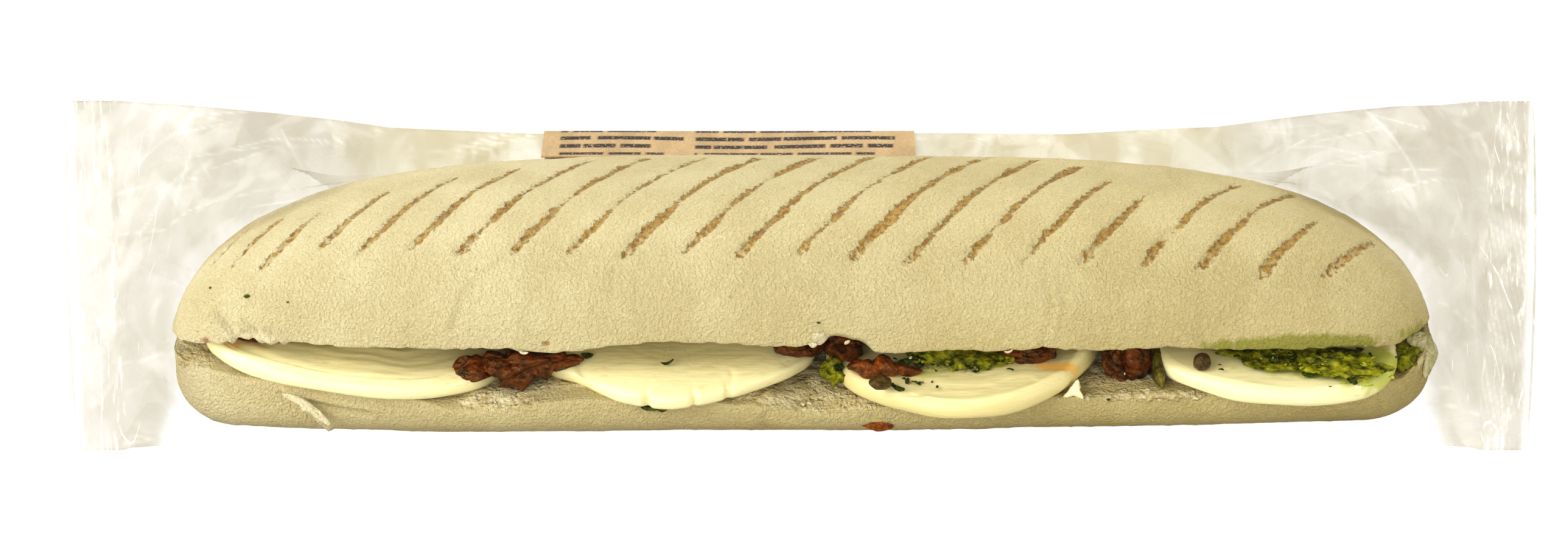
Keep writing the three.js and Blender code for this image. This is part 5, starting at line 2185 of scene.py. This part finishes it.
UPPER_HALF = BreadHalf(
    Half.TOP, "bread_top", 11,
    green=(Spot(85, -36.5, 24.8, (4, 4, 1.6), 0.7), Spot(92, -36.5, 24.8, (5, 4, 1.8), 0.8),
           Spot(102, -35.5, 25, (9, 5, 2.1), 1), Spot(114, -34, 24, (7, 5, 2.3), 1),
           Spot(127, -28, 25, (5, 6, 2.6), 0.7)),
    brown=(Spot(-53, -37.3, 25.9, (1, 1.5, 0.7), 0.9), Spot(-13, -37.6, 26, (2.4, 1.5, 0.9), 0.25),
           Spot(-124.2, -31.1, 23.4, (1.6, 2, 0.9), 0.9)),
    pale=(Spot(-118.8, -32, 26, (1.4, 3, 1.7), 0.8), Spot(-112.5, -34, 25.8, (4.5, 3, 1.3), 1),
          Spot(3.6, -37.5, 27, (1.6, 1.4, 2), 1)),
    grooves=(Groove(((-122.4, 29.8), (-119.4, 26.6), (-118.2, 24)), 0.8, -0.9),
             Groove(((-121, 29.6), (-118, 26.4), (-117, 24.2)), 0.7, 0.4),
             Groove(((-116.5, 29), (-113.6, 26.2), (-111, 25.2)), 0.8, -1.3),
             Groove(((-115.6, 26.4), (-113.2, 24.6)), 0.6, 0.8),
             Groove(((-111.5, 27.4), (-109.5, 25.4)), 0.7, -1.1),
             Groove(((-108.8, 27), (-107, 25)), 0.6, -0.9),
             Groove(((50.2, 41), (51.6, 34.2), (49.8, 24.7)), 0.7, 0.35),
             Groove(((51.5, 40), (52.9, 34.2), (51.1, 26)), 0.65, -0.35),
             Groove(((-38.7, 41.1), (-39.3, 36.7)), 0.6, 0.35),
             Groove(((-72.2, 28.9), (-69.6, 36.5), (-62, 42)), 0.8, 0.25),
             Groove(((-73.4, 29.5), (-70.9, 37), (-63, 42.6)), 0.8, -0.22),
             Groove(((82.6, 37.4), (82.9, 26)), 0.7, 0.22), Groove(((72.6, 35), (72.2, 27)), 0.7, 0.16),
             Groove(((3.6, 29.5), (6.4, 26)), 0.5, 0.4)),
    wrinkles=(Groove(((4.9, -3.7), (12.7, -9), (21.3, -7.8), (32.3, -13)), 0.9, 0.35, (0, 1)),))

STRAY_HERBS = tuple(Shard(*row) for row in (
    ((100.4, -34.6, 19.3), (3.4, 1.6, 0.4), 10, 20), ((105.2, -37.7, 18.9), (3.4, 1.5, 0.4), -8, 25),
    ((111.9, -36.1, 19.1), (2.8, 1.3, 0.4), 12, 20), ((113.9, -40.2, 18.5), (2.2, 1.3, 0.4), 30, 25),
    ((20, -41, 17.3), (3.4, 1.2, 0.4), -38, 30), ((18.4, -39.4, 17.5), (2, 1, 0.4), -50, 20),
    ((-28.2, -32.4, 18.9), (2.8, 0.9, 0.4), 24, 10, 0.5), ((-44.8, -28.2, 18.6), (2.6, 1.4, 0.5), -20, 30),
    ((-31.5, -38.6, 11.6), (4, 1.6, 0.6), 0, 50), ((-28.9, -38.8, 11.4), (2.4, 1.3, 0.5), 15, 50),
    ((7.6, -31.6, 17.4), (2.6, 1.6, 0.6), 40, 50), ((5.6, -31.8, 16.4), (2.2, 1.2, 0.5), 100, 50),
    ((8.2, -31.9, 15.6), (2, 1.3, 0.5), 160, 60), ((21.4, -33.2, 19.4), (3.6, 1.7, 0.6), 30, 40),
    ((-115, -31.4, 33.8), (1.5, 0.7, 0.9), 20, 60), ((-123.2, -26.6, 33.5), (0.8, 0.4, 0.5), 60, 60),
    ((-106.3, -33.6, 33.5), (0.4, 0.4, 0.4)), ((3.4, -37.5, 30.6), (0.8, 0.4, 0.7), 0, 60),
    ((63.7, -37.5, 12.9), (0.8, 0.4, 0.5)), ((109, -42, 18.2), (0.7, 0.4, 0.2))))

RIM_CRUMBS = tuple(Shard(*row) for row in (
    ((3.2, -38, 27.6), (2.6, 0.8, 2.4), 20, 20, 0.4), ((2.2, -37.9, 25.7), (1.8, 0.8, 1.6), -20, 30, 0.4),
    ((9.3, -38, 26.4), (1.5, 0.6, 1.1), 40, 30), ((42.6, -37.9, 24.2), (1.8, 0.5, 0.5), 20),
    ((-57.6, -38, 24), (2, 0.5, 0.6), -15)))

CHEESE_CHIPS = tuple(Shard(*row) for row in (
    ((113.4, -35.1, 19.6), (1.5, 0.9, 0.9), 20, 40), ((107.6, -36.4, 19.3), (1, 0.5, 0.4), -20, 30),
    ((114.6, -42.6, 18.3), (1.6, 1, 0.5), 0, 20), ((66.8, -31.6, 15.8), (1.3, 0.8, 1), 10, 40),
    ((96, -32.4, 19.9), (1.3, 0.5, 0.4), 30, 20), ((22.6, -32.6, 20.2), (1.2, 0.6, 0.4), 60, 30)))


def crumbs_along_cut(count: int, seed: int) -> list[Shard]:
    """Loose crumbs where the lower half's crumb is torn.

    Args:
        count: How many.
        seed: Seed of their places.

    Returns:
        The crumbs.
    """
    draw = np.random.default_rng(seed)
    crumbs = []
    for _ in range(count):
        x = draw.choice((-64.0, -3.0, 6.0, 68.0)) + draw.normal(0, 5.0)
        y = -35.2 + draw.normal(0, 1.4)
        size = draw.uniform(0.35, 1.1)
        z = float(along_line(Cuts.lower_rim, np.array(x))) - 0.3
        crumbs.append(Shard((x, y, z), (size, size * 0.8, size * 0.6), draw.uniform(0, 360),
                            draw.uniform(-30, 60)))
    return crumbs


def small_pieces() -> list[tuple[Shards, str]]:
    """Flakes, crumbs and chips strewn over the rest.

    Returns:
        Each kind, with the name of its finish.
    """
    third, fourth = SLICES[2], SLICES[3]
    herbs = [*flakes_on(fourth, Spot(106, -32.5, 0, (14, 4.0, 1), 2.2), 110, 1),
             *flakes_on(fourth, Spot(112, -36.5, 0, (7, 3.6, 1), 0.4), 34, 2),
             *flakes_on(third, Spot(32, -31, 0, (11, 3.4, 1), 1.8), 80, 3),
             *flakes_on(third, Spot(25, -37.5, 0, (4, 2.5, 1), 0.1), 7, 4), *STRAY_HERBS]
    light = [*flakes_on(fourth, Spot(108, -33, 0, (13, 4.2, 1), 2.0), 90, 5),
             *flakes_on(fourth, Spot(116, -37, 0, (5, 4.5, 1), 0.3), 40, 6),
             *flakes_on(third, Spot(32, -31.5, 0, (10, 3.2, 1), 1.6), 46, 7)]
    crumbs = [*RIM_CRUMBS, *crumbs_along_cut(30, 21)]
    return [(Shards("herb_flakes", "pesto", herbs, 31), "flake"),
            (Shards("oily_flakes", "pesto", light, 34), "light"),
            (Shards("bread_crumbs", "crust", crumbs, 32), "crust"),
            (Shards("cheese_chips", "mozzarella", CHEESE_CHIPS, 33), "cheese")]


def main() -> None:
    """Build and dress every part of the panini in order."""
    logging.basicConfig(level=logging.INFO, format="%(name)s %(message)s")
    Studio().build()
    effects = Effects()
    crust = CrustFinish().material(effects)
    for half in (LOWER_HALF, UPPER_HALF):
        half.build(crust)
    cheese = CheeseFinish().material(effects)
    for piece in SLICES:
        piece.build(cheese)

    finishes = {"tomato": TOMATO.material(effects), "red_tomato": RED_TOMATO.material(effects),
                "caper": CAPER.material(effects), "leaf": LEAF.material(effects),
                "pesto": PESTO.material(effects), "mozzarella": cheese, "crust": crust}
    for lump in FILLINGS:
        lump.build(finishes[lump.slot])
    own = {"flake": FLAKE.material(effects), "light": LIGHT_FLAKE.material(effects),
           "crust": crust, "cheese": cheese}
    for flakes, finish in small_pieces():
        flakes.build(own[finish])

    PaperLabel().build(PaperFinish().material(effects))
    FilmBag(SLICES).build(FilmFinish().material())


if __name__ == "__main__":
    main()
